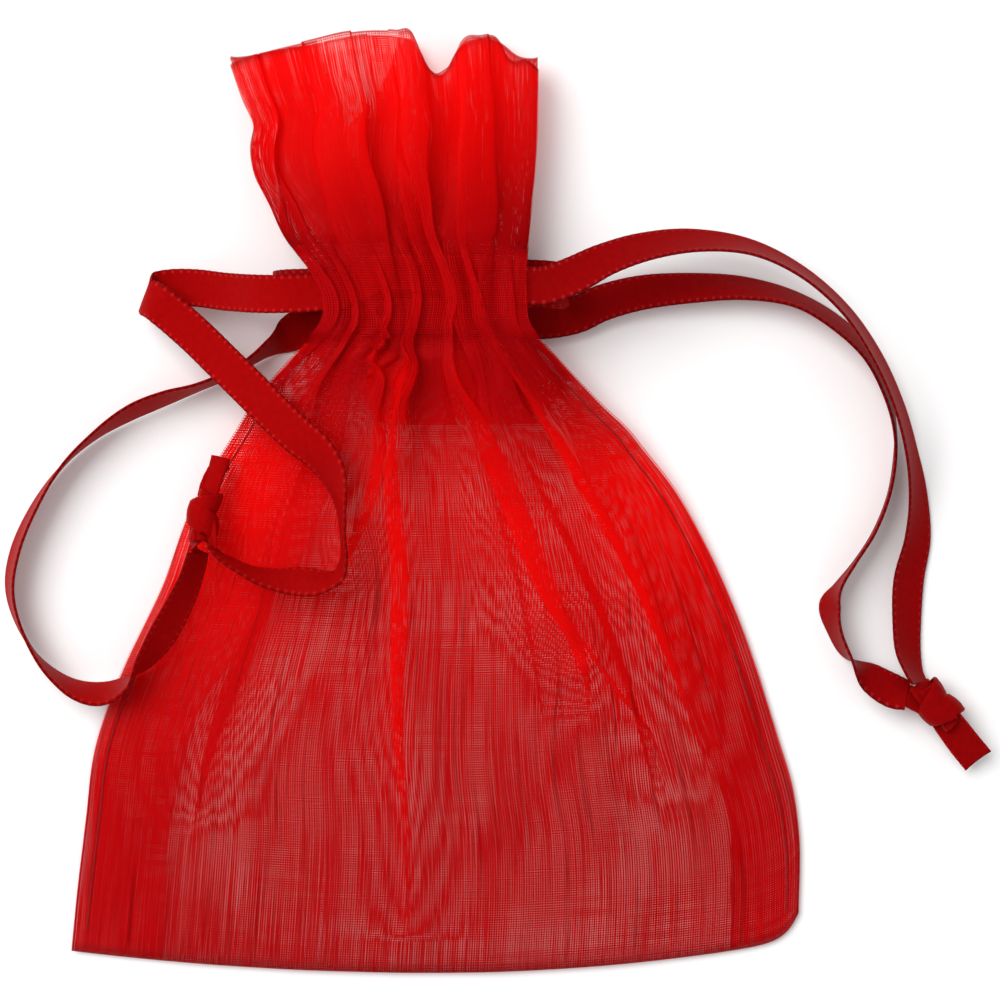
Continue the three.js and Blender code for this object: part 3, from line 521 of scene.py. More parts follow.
front_x, front_wave, front_climb, front_near = folded_rows(FRONT_FOLDS, seed=7)
back_x, back_wave, back_climb, back_near = folded_rows(BACK_FOLDS, seed=21)
print(f"gathers stand {front_wave.max():.2f} mm over the panel before they are pressed")

# %% [markdown]
# The lying pouch is a low lens: its back is flat on the table, its front swells a little over the hem
# and the gathers, and both meet at the side seams. The heights below give that form, and each layer of
# cloth then lies at its own small distance from the outer one. In the channel the outer layer and the
# hem part, so that the ribbons run between them. A few sharp creases lie at the foot of the widest
# flat fold, and the frill lies flatter towards its free edge.

# %% Heights of the layers
# Heights of the front, the side seams and the back at the bottom fold, at the neck and at the free edge
FRONT_HEIGHTS = 1.7, 9.5, 8.4
SEAM_HEIGHTS = 0.6, 4.9, 4.2
BACK_HEIGHTS = 0.06, 0.45, 0.5
# How much of the neck's height the front still has, by the share of the way down the body
BODY_LOFT = [[0, 1], [0.1, 0.93], [0.3, 0.74], [0.55, 0.52], [0.8, 0.26], [0.95, 0.08], [1, 0]]
LAYER_GAP = 0.32
FRONT_CHANNEL_DEPTH = 2.15
BACK_CHANNEL_DEPTH = 1.95
# How much of its height each panel keeps at the mouths of the channel
FRONT_MOUTH = 0.93
BACK_MOUTH = 0.97
PRESS = 0.8
STITCH_PINCH = 0.4
BACK_FOLD_SHARE = 0.4
IN_CHANNEL = smoothstep(CHANNEL_BOTTOM, CHANNEL_BOTTOM + 0.8, ROWS)
IN_CHANNEL = IN_CHANNEL * smoothstep(CHANNEL_TOP, CHANNEL_TOP - 0.8, ROWS)
OFF_STITCHING = np.minimum(np.abs(ROWS - CHANNEL_BOTTOM), np.abs(ROWS - CHANNEL_TOP))
PINCH = STITCH_PINCH * smoothstep(1.5, 0, OFF_STITCHING) * (0.7 + 0.3 * np.sin(40 * SHARES))
AWAY_FROM_SIDES = np.sin(math.pi * SHARES) ** 0.25
EDGE_LIES_FLAT = 1 - 0.6 * smoothstep(0.45, 1, FRILL_SHARE)
# Creases in the front as a line of [x, y], a width and a height: a hooked ridge and the furrows that fan
# out under it
CREASES = [
    ([[9.6, -11.6], [12, -12.6], [14.7, -13.5], [15.5, -15.1], [14.4, -16.4], [12.4, -16.7]], 0.6, 0.75),
    ([[11.2, -17.4], [9.6, -25]], 0.3, -0.12),
    ([[12.6, -17.6], [12.0, -27]], 0.3, -0.12),
    ([[14.2, -17.2], [14.6, -26]], 0.3, -0.12),
    ([[15.6, -16.4], [17.4, -25]], 0.3, -0.12),
]


def along_pouch(heights, share):
    """The height in each row, from those at the bottom fold, the neck and the free edge."""
    base, neck, edge = heights
    return np.where(IN_BODY, lerp(base, neck, share), lerp(neck, edge, FRILL_SHARE))


def panel_forms(x):
    """The height of the seams, how far the front and the back stand off it, and how both curve to it."""
    up_body = 1 - DOWN_BODY
    seam = along_pouch(SEAM_HEIGHTS, up_body**5)
    top = along_pouch(FRONT_HEIGHTS, curve_through(BODY_LOFT, DOWN_BODY))
    low = along_pouch(BACK_HEIGHTS, up_body**6)
    power = np.where(IN_BODY, lerp(2, 5, up_body**8), lerp(5, 3, smoothstep(0, 0.6, FRILL_SHARE)))
    root = np.where(IN_BODY, lerp(1.2, 0.5, up_body**8), 0.5)
    middle, half = (LEFT_X + RIGHT_X) / 2, (RIGHT_X - LEFT_X) / 2
    t = np.clip(np.abs((x - middle) / half), 0, 1)
    curve = (1 - t**power) ** root
    flat = (1 - np.clip((t - 0.62) / 0.38, 0, 1) ** 2.5) ** 0.5
    tuck = smoothstep(BASE_Y - 0.6, BASE_Y + 1.6, ROWS)
    return seam, (top - seam) * tuck, (seam - low) * lerp(0.6, 1, tuck), curve, flat


def base_rise(t):
    """How far the bottom fold has climbed at a place from -1 to 1; the right corner is rounded off."""
    climb = np.where(t < 0, BASE_RISE[0], BASE_RISE[1]) * t**2
    return climb + np.where(t > 0, CORNER_ROUND * t**30, 0)


def lie_of(x, tip):
    """Places up the pouch: the bottom curves up at the corners and the free edge has its own line."""
    above = (curve_through(tip, x[-1]) - TOP_Y) * FRILL_SHARE
    return ROWS + base_rise(2 * SHARES - 1) * DOWN_BODY + above


def distance_to(line, x, y):
    """How far each point is from a line of straight stretches."""
    nearest = np.full(x.shape, np.inf)
    for (ax, ay), (bx, by) in zip(line[:-1], line[1:]):
        dx, dy = bx - ax, by - ay
        s = np.clip(((x - ax) * dx + (y - ay) * dy) / (dx * dx + dy * dy), 0, 1)
        nearest = np.minimum(nearest, np.hypot(x - ax - s * dx, y - ay - s * dy))
    return nearest


def crease_heights(x, y):
    return sum(tall * np.exp(-((distance_to(line, x, y) / wide) ** 2)) for line, wide, tall in CREASES)


def pressed(wave, channel, body, frill):
    """The room that waves have to stand up in, by zone of the pouch, and the waves pressed into it."""
    below = lerp(channel, body, smoothstep(0, 6, BELOW_NECK))
    above = lerp(channel, frill, smoothstep(0, 0.4, FRILL_SHARE))
    room = np.where(IN_BODY, below, above)
    return room, room * np.tanh(wave * PRESS / room) * EDGE_LIES_FLAT


def front_layers():
    """The front's outer layer and its hem."""
    seam, rise, _, curve, _ = panel_forms(front_x)
    _, wave = pressed(front_wave, channel=0.42, body=1.0, frill=1.4)
    mouth = lerp(curve, np.maximum(curve, FRONT_MOUTH), IN_CHANNEL)
    fixed = front_climb * curve - PINCH
    outer = seam + mouth * (rise + (wave - 0.1) * AWAY_FROM_SIDES) + fixed
    in_hem = (wave * lerp(1, 0.25, IN_CHANNEL) - 0.1) * AWAY_FROM_SIDES
    hem = seam + curve * (rise + in_hem - lerp(LAYER_GAP, FRONT_CHANNEL_DEPTH, IN_CHANNEL)) + fixed
    return outer + crease_heights(front_x, ROWS), hem


def back_layers():
    """The back's outer layer and its hem."""
    seam, _, drop, _, flat = panel_forms(back_x)
    room, wave = pressed(back_wave, channel=0.35, body=1.0, frill=1.2)
    drop = drop - (0.1 + room + wave) * AWAY_FROM_SIDES / 2
    mouth = lerp(flat, np.maximum(flat, BACK_MOUTH), IN_CHANNEL)
    fixed = back_climb * BACK_FOLD_SHARE + PINCH / 2
    outer = seam - mouth * drop + fixed
    return outer, seam - flat * (drop - lerp(LAYER_GAP, BACK_CHANNEL_DEPTH, IN_CHANNEL)) + fixed


front_outer_z, front_hem_z = front_layers()
back_outer_z, back_hem_z = back_layers()
front_y = lie_of(front_x, FRONT_TIP)
back_y = lie_of(back_x, BACK_TIP)
lowest, highest = front_outer_z.min(), front_outer_z.max()
print(f"front {lowest:.2f} to {highest:.2f} mm high, back from {back_outer_z.min():.2f}")

# %% [markdown]
# The seam allowances are the strips of cloth left inside the side seams. Both panels' allowances are
# pressed to the front, so they lie under it as one more layer along each side, and their raw inner edges
# show through it as the border of a band of fuller red. The hem hangs inside both panels, and its ragged
# lower edge shows through as well.

# %% Panels of cloth
# The raw inner edge of each allowance as [y, x]
LEFT_ALLOWANCE = [
    [-46, -26.3], [-44.3, -26.2], [-27.1, -24.4], [-20.2, -22.1], [-15, -18.4], [-10.1, -15.6],
    [-7, -13.1], [-1.9, -10.8], [5.7, -8.4], [10.4, -7.7], [14.5, -7.6],
]
RIGHT_ALLOWANCE = [
    [-46, 28.6], [-40.5, 28.5], [-32.8, 28.3], [-27.7, 26.9], [-16.7, 22.5], [-4.7, 17.0], [2.7, 13.9],
    [7.6, 12.0], [10.4, 10.4], [14.5, 7.4],
]
ALLOWANCE_COLUMNS = 28
ALLOWANCE_HEIGHT = 0.72
HEM_ROW = int(np.argmax(ROWS > HEM_EDGE))
# The raw lower edge of the hem as [x, y]
HEM_LINE = [
    [-24, 12.6], [-8, 11.5], [-4.6, 7.4], [-1, 7.2], [4, 7.6], [8.5, 6.8], [10.5, 8.4], [13, 11],
    [24, 12.6],
]
HEM_RAGGED = 0.25
# How far the hem is offset from the outer layer, sideways and down from the free edge
HEM_SHIFT = 0.08
HEM_TUCK = 0.15
# The two sides, as [y, x], of the narrow place where the hem has slipped down the frill
NOTCH_FROM = 34.6
SHEER_NOTCH = (
    [[NOTCH_FROM, -8.0], [38, -9.3], [41, -10.3], [45, -11.4]],
    [[NOTCH_FROM, -8.0], [38, -5.4], [41, -3.9], [45, -2.8]],
)
# Painted light and shade in the threads' red, by place up the pouch: the frill is painted bright where
# it stands up into the light, the stacked hem is painted dark, the creased upper body bright again and
# the flat, sheer lower body dull
PAINTED_LIGHT = [
    [-46, 0.2], [-34, 0.22], [-22, 0.3], [-10, 0.44], [2, 0.52], [5.5, 0.42], [8, 0.3], [14.7, 0.3],
    [19, 0.45], [23.8, 0.4], [27, 0.52], [32, 0.8], [38, 0.92], [46, 0.85],
]
# Painted light added to it along the sides, as a painted highlight on the crest of each flat fold, and
# where an allowance lies
PAINTED_SIDE_LIGHT = [[-46, 0], [-26, 0], [-14, 0.1], [-4, 0.35], [5, 0.4], [9, 0.1], [12, 0], [46, 0]]
PAINTED_FOLD_HIGHLIGHT = 0.6
PAINTED_ALLOWANCE_LIGHT = 0.5


def grid_of_cloth(x, y, z, u, v, bright, edge):
    """Points, faces, cloth coordinates, painted light and edge darkening of a grid of cloth."""
    points = np.stack([x, y, z], axis=-1).reshape(-1, 3)
    uv = np.stack([u, v], axis=-1).reshape(-1, 2)
    return points, grid_faces(*x.shape), uv, bright.ravel(), edge.ravel()


def layer_arrays(x, y, z, near, shift=0.0, from_row=0):
    """One layer of a panel; shift moves its weave, so that no two layers have the same threads."""
    x, y, z, near = (values[from_row:] for values in (x, y, z, near))
    u, v = np.broadcast_arrays(SHARES * CLOTH_WIDTH, ROWS[from_row:])
    to_side = np.minimum(u, CLOTH_WIDTH - u)
    # Painted highlight on the crest of each flat fold, and painted light along the sides of the upper
    # body
    fold_highlight = PAINTED_FOLD_HIGHLIGHT * near * smoothstep(CHANNEL_BOTTOM + 1, CHANNEL_BOTTOM - 4, y)
    painted_side = curve_through(PAINTED_SIDE_LIGHT, y) * smoothstep(18, 9, to_side)
    # The edge value darkens the red at the sides, the free edge and the bottom fold: partly for the
    # doubled cloth there, partly as painted shade
    edge = np.maximum(np.exp(-to_side / 0.3), np.exp(-(TOP_Y - v) / 0.35))
    edge = np.maximum(edge, np.exp(-(v - BASE_Y) / 0.5))
    return grid_of_cloth(x, y, z, u + shift, v, curve_through(PAINTED_LIGHT, y) + fold_highlight + painted_side, edge)


def hem_arrays(x, y, z, near, shift):
    """A hem without its faces under the raw lower edge and in the notch of the frill."""
    points, faces, *shades = layer_arrays(x, y - HEM_TUCK * FRILL_SHARE, z, near, shift, HEM_ROW)
    across, up, _ = points[faces].mean(axis=1).T
    left, right = (curve_through(side, up) for side in SHEER_NOTCH)
    slipped = (up > NOTCH_FROM) & (across > left) & (across < right)
    raw = curve_through(HEM_LINE, across) + HEM_RAGGED * np.sin(5.1 * across) * np.sin(1.7 * across)
    return points, faces[~slipped & (up > raw)], *shades


def allowance_arrays(side_x, inner_line):
    """A strip under the front of the body, from a side seam to the raw edge of its allowance."""
    inner = curve_through(inner_line, ROWS)
    share = np.linspace(0, 1, ALLOWANCE_COLUMNS)
    x = lerp(side_x, inner, share)
    seam, rise, _, curve, _ = panel_forms(x)
    z = seam + curve * rise * ALLOWANCE_HEIGHT
    t = np.clip(2 * (x - LEFT_X) / (RIGHT_X - LEFT_X) - 1, -1, 1)
    y = ROWS + base_rise(t) * DOWN_BODY + 0.3
    u, v = np.broadcast_arrays(np.abs(x - side_x) + 0.13, ROWS)
    edge = np.exp(-(1 - share) * np.abs(inner - side_x) / 0.3) / 2
    # Painted light: the allowance's threads are painted brighter than the panel's
    bright = PAINTED_ALLOWANCE_LIGHT + curve_through(PAINTED_LIGHT, y)
    return grid_of_cloth(*(values[IN_BODY[:, 0]] for values in (x, y, z, u, v, bright, edge)))


def add_joined(name, parts, *keys):
    """One object from several parts: their points, faces, cloth coordinates and values for each key."""
    points, faces, uv, *values = zip(*parts)
    starts = np.cumsum([0] + [len(some) for some in points])
    faces = [[v + start for v in face] for some, start in zip(faces, starts) for face in some]
    attributes = {key: np.concatenate(some) for key, some in zip(keys, values)}
    return add_piece(name, np.vstack(points), faces, np.vstack(uv), attributes)


cloth_front = add_joined("cloth_front", [
    layer_arrays(front_x, front_y, front_outer_z, front_near),
    hem_arrays(front_x + HEM_SHIFT, front_y, front_hem_z, front_near, 11.3),
    allowance_arrays(LEFT_X, LEFT_ALLOWANCE),
    allowance_arrays(RIGHT_X, RIGHT_ALLOWANCE),
], "brightness", "edge")
cloth_back = add_joined("cloth_back", [
    layer_arrays(back_x, back_y, back_outer_z, back_near, 123.7),
    hem_arrays(back_x - HEM_SHIFT, back_y, back_hem_z, back_near, 137.1),
], "brightness", "edge")

# %% [markdown]
# Each drawstring ends in an overhand knot that ties its two tails together. A tight knot in satin is a
# small lump of overlapping turns, so it is made of the same strip: turns wound round the lump at their
# own tilt, and the cut ends that stand out of it.

# %% Knots
TURN_POINTS = 14
KNOT_STEPS = 8


def turn_route(centre, lean, radii, at, tilt, start, sweep, slide=0):
    """One turn of ribbon round a lump whose axis leans from +Y; tilt slopes it and slide moves it on."""
    angle = start + np.linspace(0, sweep, TURN_POINTS)
    along = at + tilt * np.cos(angle) + slide * (angle - start) / sweep
    shrink = np.sqrt(np.clip(1 - (along / (radii[1] * 1.25)) ** 2, 0.15, 1))
    wide, high = radii[0] * shrink, radii[2] * shrink
    local = np.column_stack([wide * np.cos(angle), along, high * np.sin(angle)])
    bulge = 0.35 * along / radii[1]
    across = np.column_stack([bulge * np.cos(angle), np.ones(TURN_POINTS), bulge * np.sin(angle)])
    c, s = math.cos(lean), math.sin(lean)
    turn = np.array([[c, -s, 0], [s, c, 0], [0, 0, 1]])
    return np.hstack([local @ turn.T + centre, across @ turn.T])


def short_strip(points, width, cup=0.2):
    return strip_arrays(*strip_rings(smooth_route(points, KNOT_STEPS), width, cup))


def add_knot(name, centre, lean, turns, ends):
    """A knot of turns, each a width and what turn_route needs, and ends, each a route and its width."""
    strips = [short_strip(turn_route(np.array(centre), lean, *turn), width) for width, *turn in turns]
    return add_joined(name, strips + [short_strip(*end) for end in ends])


left_knot = add_knot("left_ribbon_tied_knot", (-21.8, -1.5, 5.0), -0.2, turns=[
    (2.0, (1.35, 2.3, 1.25), 0.9, 0.5, 0.3, 6.6),
    (2.2, (1.5, 2.3, 1.4), -0.5, -0.6, 1.2, 6.9, 0.3),
    (2.0, (0.9, 2.3, 0.8), -1.4, 0.2, 2.0, 6.3),
    (1.6, (0.8, 2.3, 0.75), 1.5, -0.2, 0.5, 6.3),
], ends=[
    ([LEFT_RIBBON[0], [-21.3, -3.4, 5.6, 0.6, 0, 0.7], [-21.8, -1.8, 5.3, 0.9, 0.2, 0.4]], 2.4),
    ([LEFT_RIBBON[-1], [-22.5, -3.8, 4.9, 0.7, 0, 0.7], [-22.1, -1.9, 4.7, 0.9, 0.1, 0.4]], 2.4),
    ([[-21.8, -1.0, 5.2, 0.9, 0.2, 0.4], [-21.3, 0.9, 5.3, 0.9, 0.1, 0.45],
      [-20.8, 2.4, 5.1, 0.9, -0.1, 0.5], [-20.3, 4.1, 4.8, 0.9, -0.3, 0.35]], 2.0, 0.35),
    ([[-21.6, -1.0, 4.8, 0.9, 0.2, 0.4], [-21.5, 0.9, 4.6, 0.9, 0.1, -0.35],
      [-20.9, 2.4, 4.5, 0.9, -0.1, -0.3], [-20.1, 3.6, 4.4, 0.8, -0.5, 0.1]], 1.7, 0.3),
])
right_knot = add_knot("right_ribbon_tied_knot", (48.3, -19.8, 2.2), 0.7, turns=[
    (2.4, (1.6, 2.1, 1.5), 0.6, 0.6, 0.2, 6.9),
    (2.2, (1.75, 2.1, 1.55), -0.5, -0.5, 1.0, 6.7, 0.3),
    (1.9, (1.0, 2.1, 0.95), -1.3, 0.2, 2.4, 6.3),
    (1.9, (1.0, 2.1, 0.95), 1.3, -0.2, 2.4, 6.3),
], ends=[
    ([[46.5, -17.6, 2.1, -0.95, -0.2, 0.5], [47.2, -18.6, 2.4, -0.8, -0.4, 0.5],
      [48.1, -19.6, 2.5, -0.7, -0.5, 0.4]], 2.6),
    ([RIGHT_RIBBON[-1], [46.7, -19.3, 2.0, -0.4, -0.8, 0.5], [48.1, -19.9, 2.0, -0.5, -0.7, 0.4]], 2.6),
    ([[48.5, -20.2, 2.3, 0.6, 0.3, 0.5], [49.6, -21.7, 2.3, 0.75, 0.45, 0.35],
      [50.8, -23.3, 2.1, 0.82, 0.5, 0.2], [52.2, -25.0, 1.8, 0.9, 0.42, 0.1]], 3.1, 0.3),
    ([[48.6, -20.4, 1.8, 0.6, 0.3, 0.5], [50.0, -21.9, 1.6, 0.75, 0.45, 0.35],
      [51.0, -23.4, 1.4, 0.82, 0.5, 0.2], [51.8, -24.6, 1.2, 0.9, 0.42, 0.1]], 2.8, 0.3),
])

# %% [markdown]
# Two rows of running stitch close the channel, and one row runs up each side. A thread dips into the
# cloth and comes out again, so each row is one thin tube that waves through the outer layer, and only
# its upper bows show.

# %% Stitching
STITCH_LENGTH = 1.5
STITCH_RADIUS = 0.36 * THREAD_DIAMETER
THREAD_SIDES = 6
# The channel's rows are pulled in tight, and the side rows lie looser, this far inside the edge
SUNK = 0.25
CHANNEL_BOW = 0.16
SIDE_BOW = 0.09
SIDE_INSET = 1.3


def tube_arrays(path, across, closed=False):
    """A thread along a path whose bends lie square to the direction across."""
    around = np.roll(path, -1, axis=0) - np.roll(path, 1, axis=0)
    along = unit(around if closed else np.gradient(path, axis=0))
    side = unit(np.array(across) - np.sum(across * along, axis=1)[:, None] * along)
    up = np.cross(along, side)
    turn = np.arange(THREAD_SIDES)[:, None] / THREAD_SIDES * 2 * math.pi
    rings = path[:, None] + STITCH_RADIUS * (np.cos(turn) * side[:, None] + np.sin(turn) * up[:, None])
    count = len(path) * THREAD_SIDES
    faces = (grid_faces(len(path) + closed, THREAD_SIDES, closed=True) % count).tolist()
    if not closed:
        faces += [list(range(THREAD_SIDES)), list(range(count - THREAD_SIDES, count))[::-1]]
    uv = np.stack(np.broadcast_arrays(np.arange(THREAD_SIDES) * 0.1, run_along(path)[:, None]), axis=-1)
    return rings.reshape(-1, 3), faces, uv.reshape(-1, 2)


def lowest_at(x, z, places, reach=0.7):
    """The lowest cloth within a short reach of each place across a row."""
    near = np.abs(x[None, :] - places[:, None]) < reach
    return np.min(np.where(near, z[None, :], np.inf), axis=1)


def add_channel_row(name, y):
    """One row of stitching round the neck: over the front from left to right and back under the back."""
    row = int(np.argmin(np.abs(ROWS - y)))
    x = np.linspace(LEFT_X[row, 0] + 0.25, RIGHT_X[row, 0] - 0.25, 150)
    dip = CHANNEL_BOW * np.cos(2 * math.pi * x / STITCH_LENGTH)
    front = lowest_at(front_x[row], front_outer_z[row], x) + dip - SUNK
    back = np.maximum(lowest_at(back_x[row], back_outer_z[row], x) + dip, THREAD_DIAMETER)
    kernel = np.hanning(9) / np.hanning(9).sum()
    front, back = (np.convolve(np.pad(v, 4, mode="edge"), kernel, mode="valid") for v in (front, back))
    path = np.vstack([np.column_stack([x, front]), np.column_stack([x, back])[::-1]])
    return add_piece(name, *tube_arrays(np.insert(path, 1, y, axis=1), (0, 1, 0), closed=True))


def add_side_row(name, side_x, inwards):
    """The side seam's own stitching, a little inside the edge of the body."""
    last = int(np.argmax(ROWS > CHANNEL_BOTTOM - 0.5)) - 1
    y = np.linspace(ROWS[2, 0], ROWS[last, 0], 420)
    x = curve_through(np.hstack([ROWS, side_x]), y) + inwards
    stitched = side_x[:, 0] + inwards
    heights = [np.interp(*row) for row in zip(stitched, front_x, front_outer_z)]
    z = np.interp(y, ROWS[:, 0], heights)
    t = math.copysign(1 - 2 * abs(inwards) / CLOTH_WIDTH, -inwards)
    y = y + base_rise(t) * (CHANNEL_BOTTOM - y) / (CHANNEL_BOTTOM - BASE_Y)
    z = z + SIDE_BOW * np.cos(2 * math.pi * y / STITCH_LENGTH) + 0.02
    return add_piece(name, *tube_arrays(np.column_stack([x, y, z]), (1, 0, 0)))


stitches = [
    add_channel_row("channel_stitches_lower", CHANNEL_BOTTOM),
    add_channel_row("channel_stitches_upper", CHANNEL_TOP),
    add_side_row("side_stitches_left", LEFT_X, SIDE_INSET),
    add_side_row("side_stitches_right", RIGHT_X, -SIDE_INSET),
]

# %% [markdown]
# Materials are written as nodes. Colours are given as they look on a screen and turned to linear light
# by one function. Another adds a node with its settings, and feeds its inputs with values, with sockets
# or with the first output of another node.

# %% Helpers for materials
def linear(code):
    """Linear colour with alpha from a screen colour such as c8141a."""
    channels = [int(code[i : i + 2], 16) / 255 for i in (0, 2, 4)]
    return [c / 12.92 if c <= 0.04045 else ((c + 0.055) / 1.055) ** 2.4 for c in channels] + [1.0]


def add_node(tree, kind, **values):
    """A node: names in small letters are its settings, and others, or i0 and so on, are its inputs."""
    node = tree.nodes.new("ShaderNode" + kind)
    for key, value in values.items():
        if key.islower() and not key[1:].isdigit():
            setattr(node, key, value)
            continue
        socket = node.inputs[int(key[1:]) if key[1:].isdigit() else key.replace("_", " ")]
        if isinstance(value, bpy.types.Node):
            value = value.outputs[0]
        if isinstance(value, bpy.types.NodeSocket):
            tree.links.new(value, socket)
        else:
            socket.default_value = value
    return node


def new_material(name):
    material = bpy.data.materials.new(name)
    material.use_nodes = True
    material.node_tree.nodes.clear()
    return material, material.node_tree


print("red of the threads in linear light:", [round(c, 4) for c in linear("ba0612")[:3]])

# %% [markdown]
# Organza is woven from single smooth filaments with gaps between them. Where a thread lies, light is
# partly thrown back and partly let through in its own red; where a gap lies, it passes untouched. The
# material draws the two sets of threads from the cloth's UV map and mixes a thread shader with a
# transparent one. The real mesh is finer than a render of this size can show, so its pitch is drawn at
# 0.23 mm. Slubs, where warp threads crowd, run up the cloth as fine dark streaks. Folded and sewn edges
# are darker, partly because the cloth is doubled there and partly as painted shade. The threads' red is
# also painted lighter and darker by place up the pouch: that is painted light and shade.

# %% Organza
THREAD_PITCH = 0.23
THREAD_SOFTNESS = 0.4
# For each set of threads: how far it strays from its pitch, and the share of the pitch that it covers
WARP = 0.26, 0.44
WEFT = 0.14, 0.33
# Below the first height in mm the slubs show in full, above the second hardly
SLUBS_SHOW = -12.0, 0.0


def organza_material():
    material, tree = new_material("organza_plain_weave")
    uv = add_node(tree, "UVMap", uv_map="weave_mm")
    along = add_node(tree, "VectorMath", operation="MULTIPLY", i0=uv, i1=(1.0, 0.022, 1.0))
    along = add_node(tree, "TexNoise", Vector=along, Scale=2.3, Detail=2.0, Roughness=0.6)
    crowding = add_node(tree, "SeparateXYZ", Vector=along.outputs["Color"])
    across = add_node(tree, "VectorMath", operation="MULTIPLY", i0=uv, i1=(0.1, 1.0, 1.0))
    across = add_node(tree, "TexNoise", Vector=across, Scale=1.3, Detail=1.0).outputs["Fac"]
    place = add_node(tree, "SeparateXYZ", Vector=uv)
    thread = []
    for axis, push, (stray, share) in (("X", crowding.outputs["X"], WARP), ("Y", across, WEFT)):
        at = place.outputs[axis]
        spot = add_node(tree, "Math", operation="MULTIPLY_ADD", i0=push, i1=stray, i2=at)
        turn = add_node(tree, "Math", operation="MULTIPLY", i0=spot, i1=2 * math.pi / THREAD_PITCH)
        wave = add_node(tree, "Math", operation="COSINE", i0=turn)
        edge = math.cos(math.pi * share)
        thread.append(add_node(tree, "MapRange", interpolation_type="SMOOTHSTEP", Value=wave,
                               From_Min=edge - THREAD_SOFTNESS, From_Max=edge + THREAD_SOFTNESS))
    woven = add_node(tree, "Math", operation="MAXIMUM", i0=thread[0], i1=thread[1])
    streak = add_node(tree, "MapRange", interpolation_type="SMOOTHSTEP", Value=crowding.outputs["Y"],
                      From_Min=0.58, From_Max=0.74, To_Max=0.9)
    low_down = add_node(tree, "MapRange", interpolation_type="SMOOTHSTEP", Value=place.outputs["Y"],
                        From_Min=SLUBS_SHOW[0], From_Max=SLUBS_SHOW[1], To_Min=1.0, To_Max=0.15)
    streak = add_node(tree, "Math", operation="MULTIPLY", i0=streak, i1=low_down)
    # Slubs and the edge value darken the red and close the weave: slubs and doubled cloth are real, and
    # the darkening at the edges is partly painted shade
    edge = add_node(tree, "Attribute", attribute_name="edge").outputs["Fac"]
    doubled_and_shaded = add_node(tree, "Math", operation="MAXIMUM", i0=streak, i1=edge)
    doubled_and_shaded = add_node(tree, "Math", operation="MULTIPLY", i0=doubled_and_shaded, i1=0.7)
    cover = add_node(tree, "Math", operation="MAXIMUM", i0=woven, i1=doubled_and_shaded)
    # Painted light and shade: the threads' red runs from a dull copy to a bright one by the painted
    # light stored on the mesh
    bright = add_node(tree, "Attribute", attribute_name="brightness").outputs["Fac"]
    red = add_node(tree, "Mix", data_type="RGBA", i0=bright, i6=linear("ba0612"), i7=linear("ff0c0a"))
    red = add_node(tree, "Mix", data_type="RGBA", i0=doubled_and_shaded, i6=red.outputs[2], i7=linear("7c0205"))
    face = add_node(tree, "BsdfDiffuse", Color=red.outputs[2])
    through = add_node(tree, "BsdfTranslucent", Color=red.outputs[2])
    body = add_node(tree, "MixShader", i0=0.5, i1=face, i2=through)
    gloss = add_node(tree, "BsdfGlossy", Color=linear("ff4040"), Roughness=0.45)
    body = add_node(tree, "MixShader", i0=0.025, i1=body, i2=gloss)
    gap = add_node(tree, "BsdfTransparent")
    mixed = add_node(tree, "MixShader", i0=cover, i1=gap, i2=body)
    add_node(tree, "OutputMaterial", Surface=mixed)
    return material


organza = organza_material()
print("organza nodes:", len(organza.node_tree.nodes))

# %% [markdown]
# Satin ribbon is woven so that long floats of shiny filament lie on its face, so it is smooth, deep in
# colour and reflects a tint of its own red. Each selvedge is a row of small bright beads, and outside
# them the red is painted dark as painted shade where the rounded edge turns down.

# %% Satin and sewing thread
# Where the beads and the painted edge shade begin and where that shade is full, in mm from the middle of
# the ribbon
SELVEDGE_FROM = 1.3
EDGE_SHADE_FROM = 1.5
EDGE_SHADE_FULL = 1.75


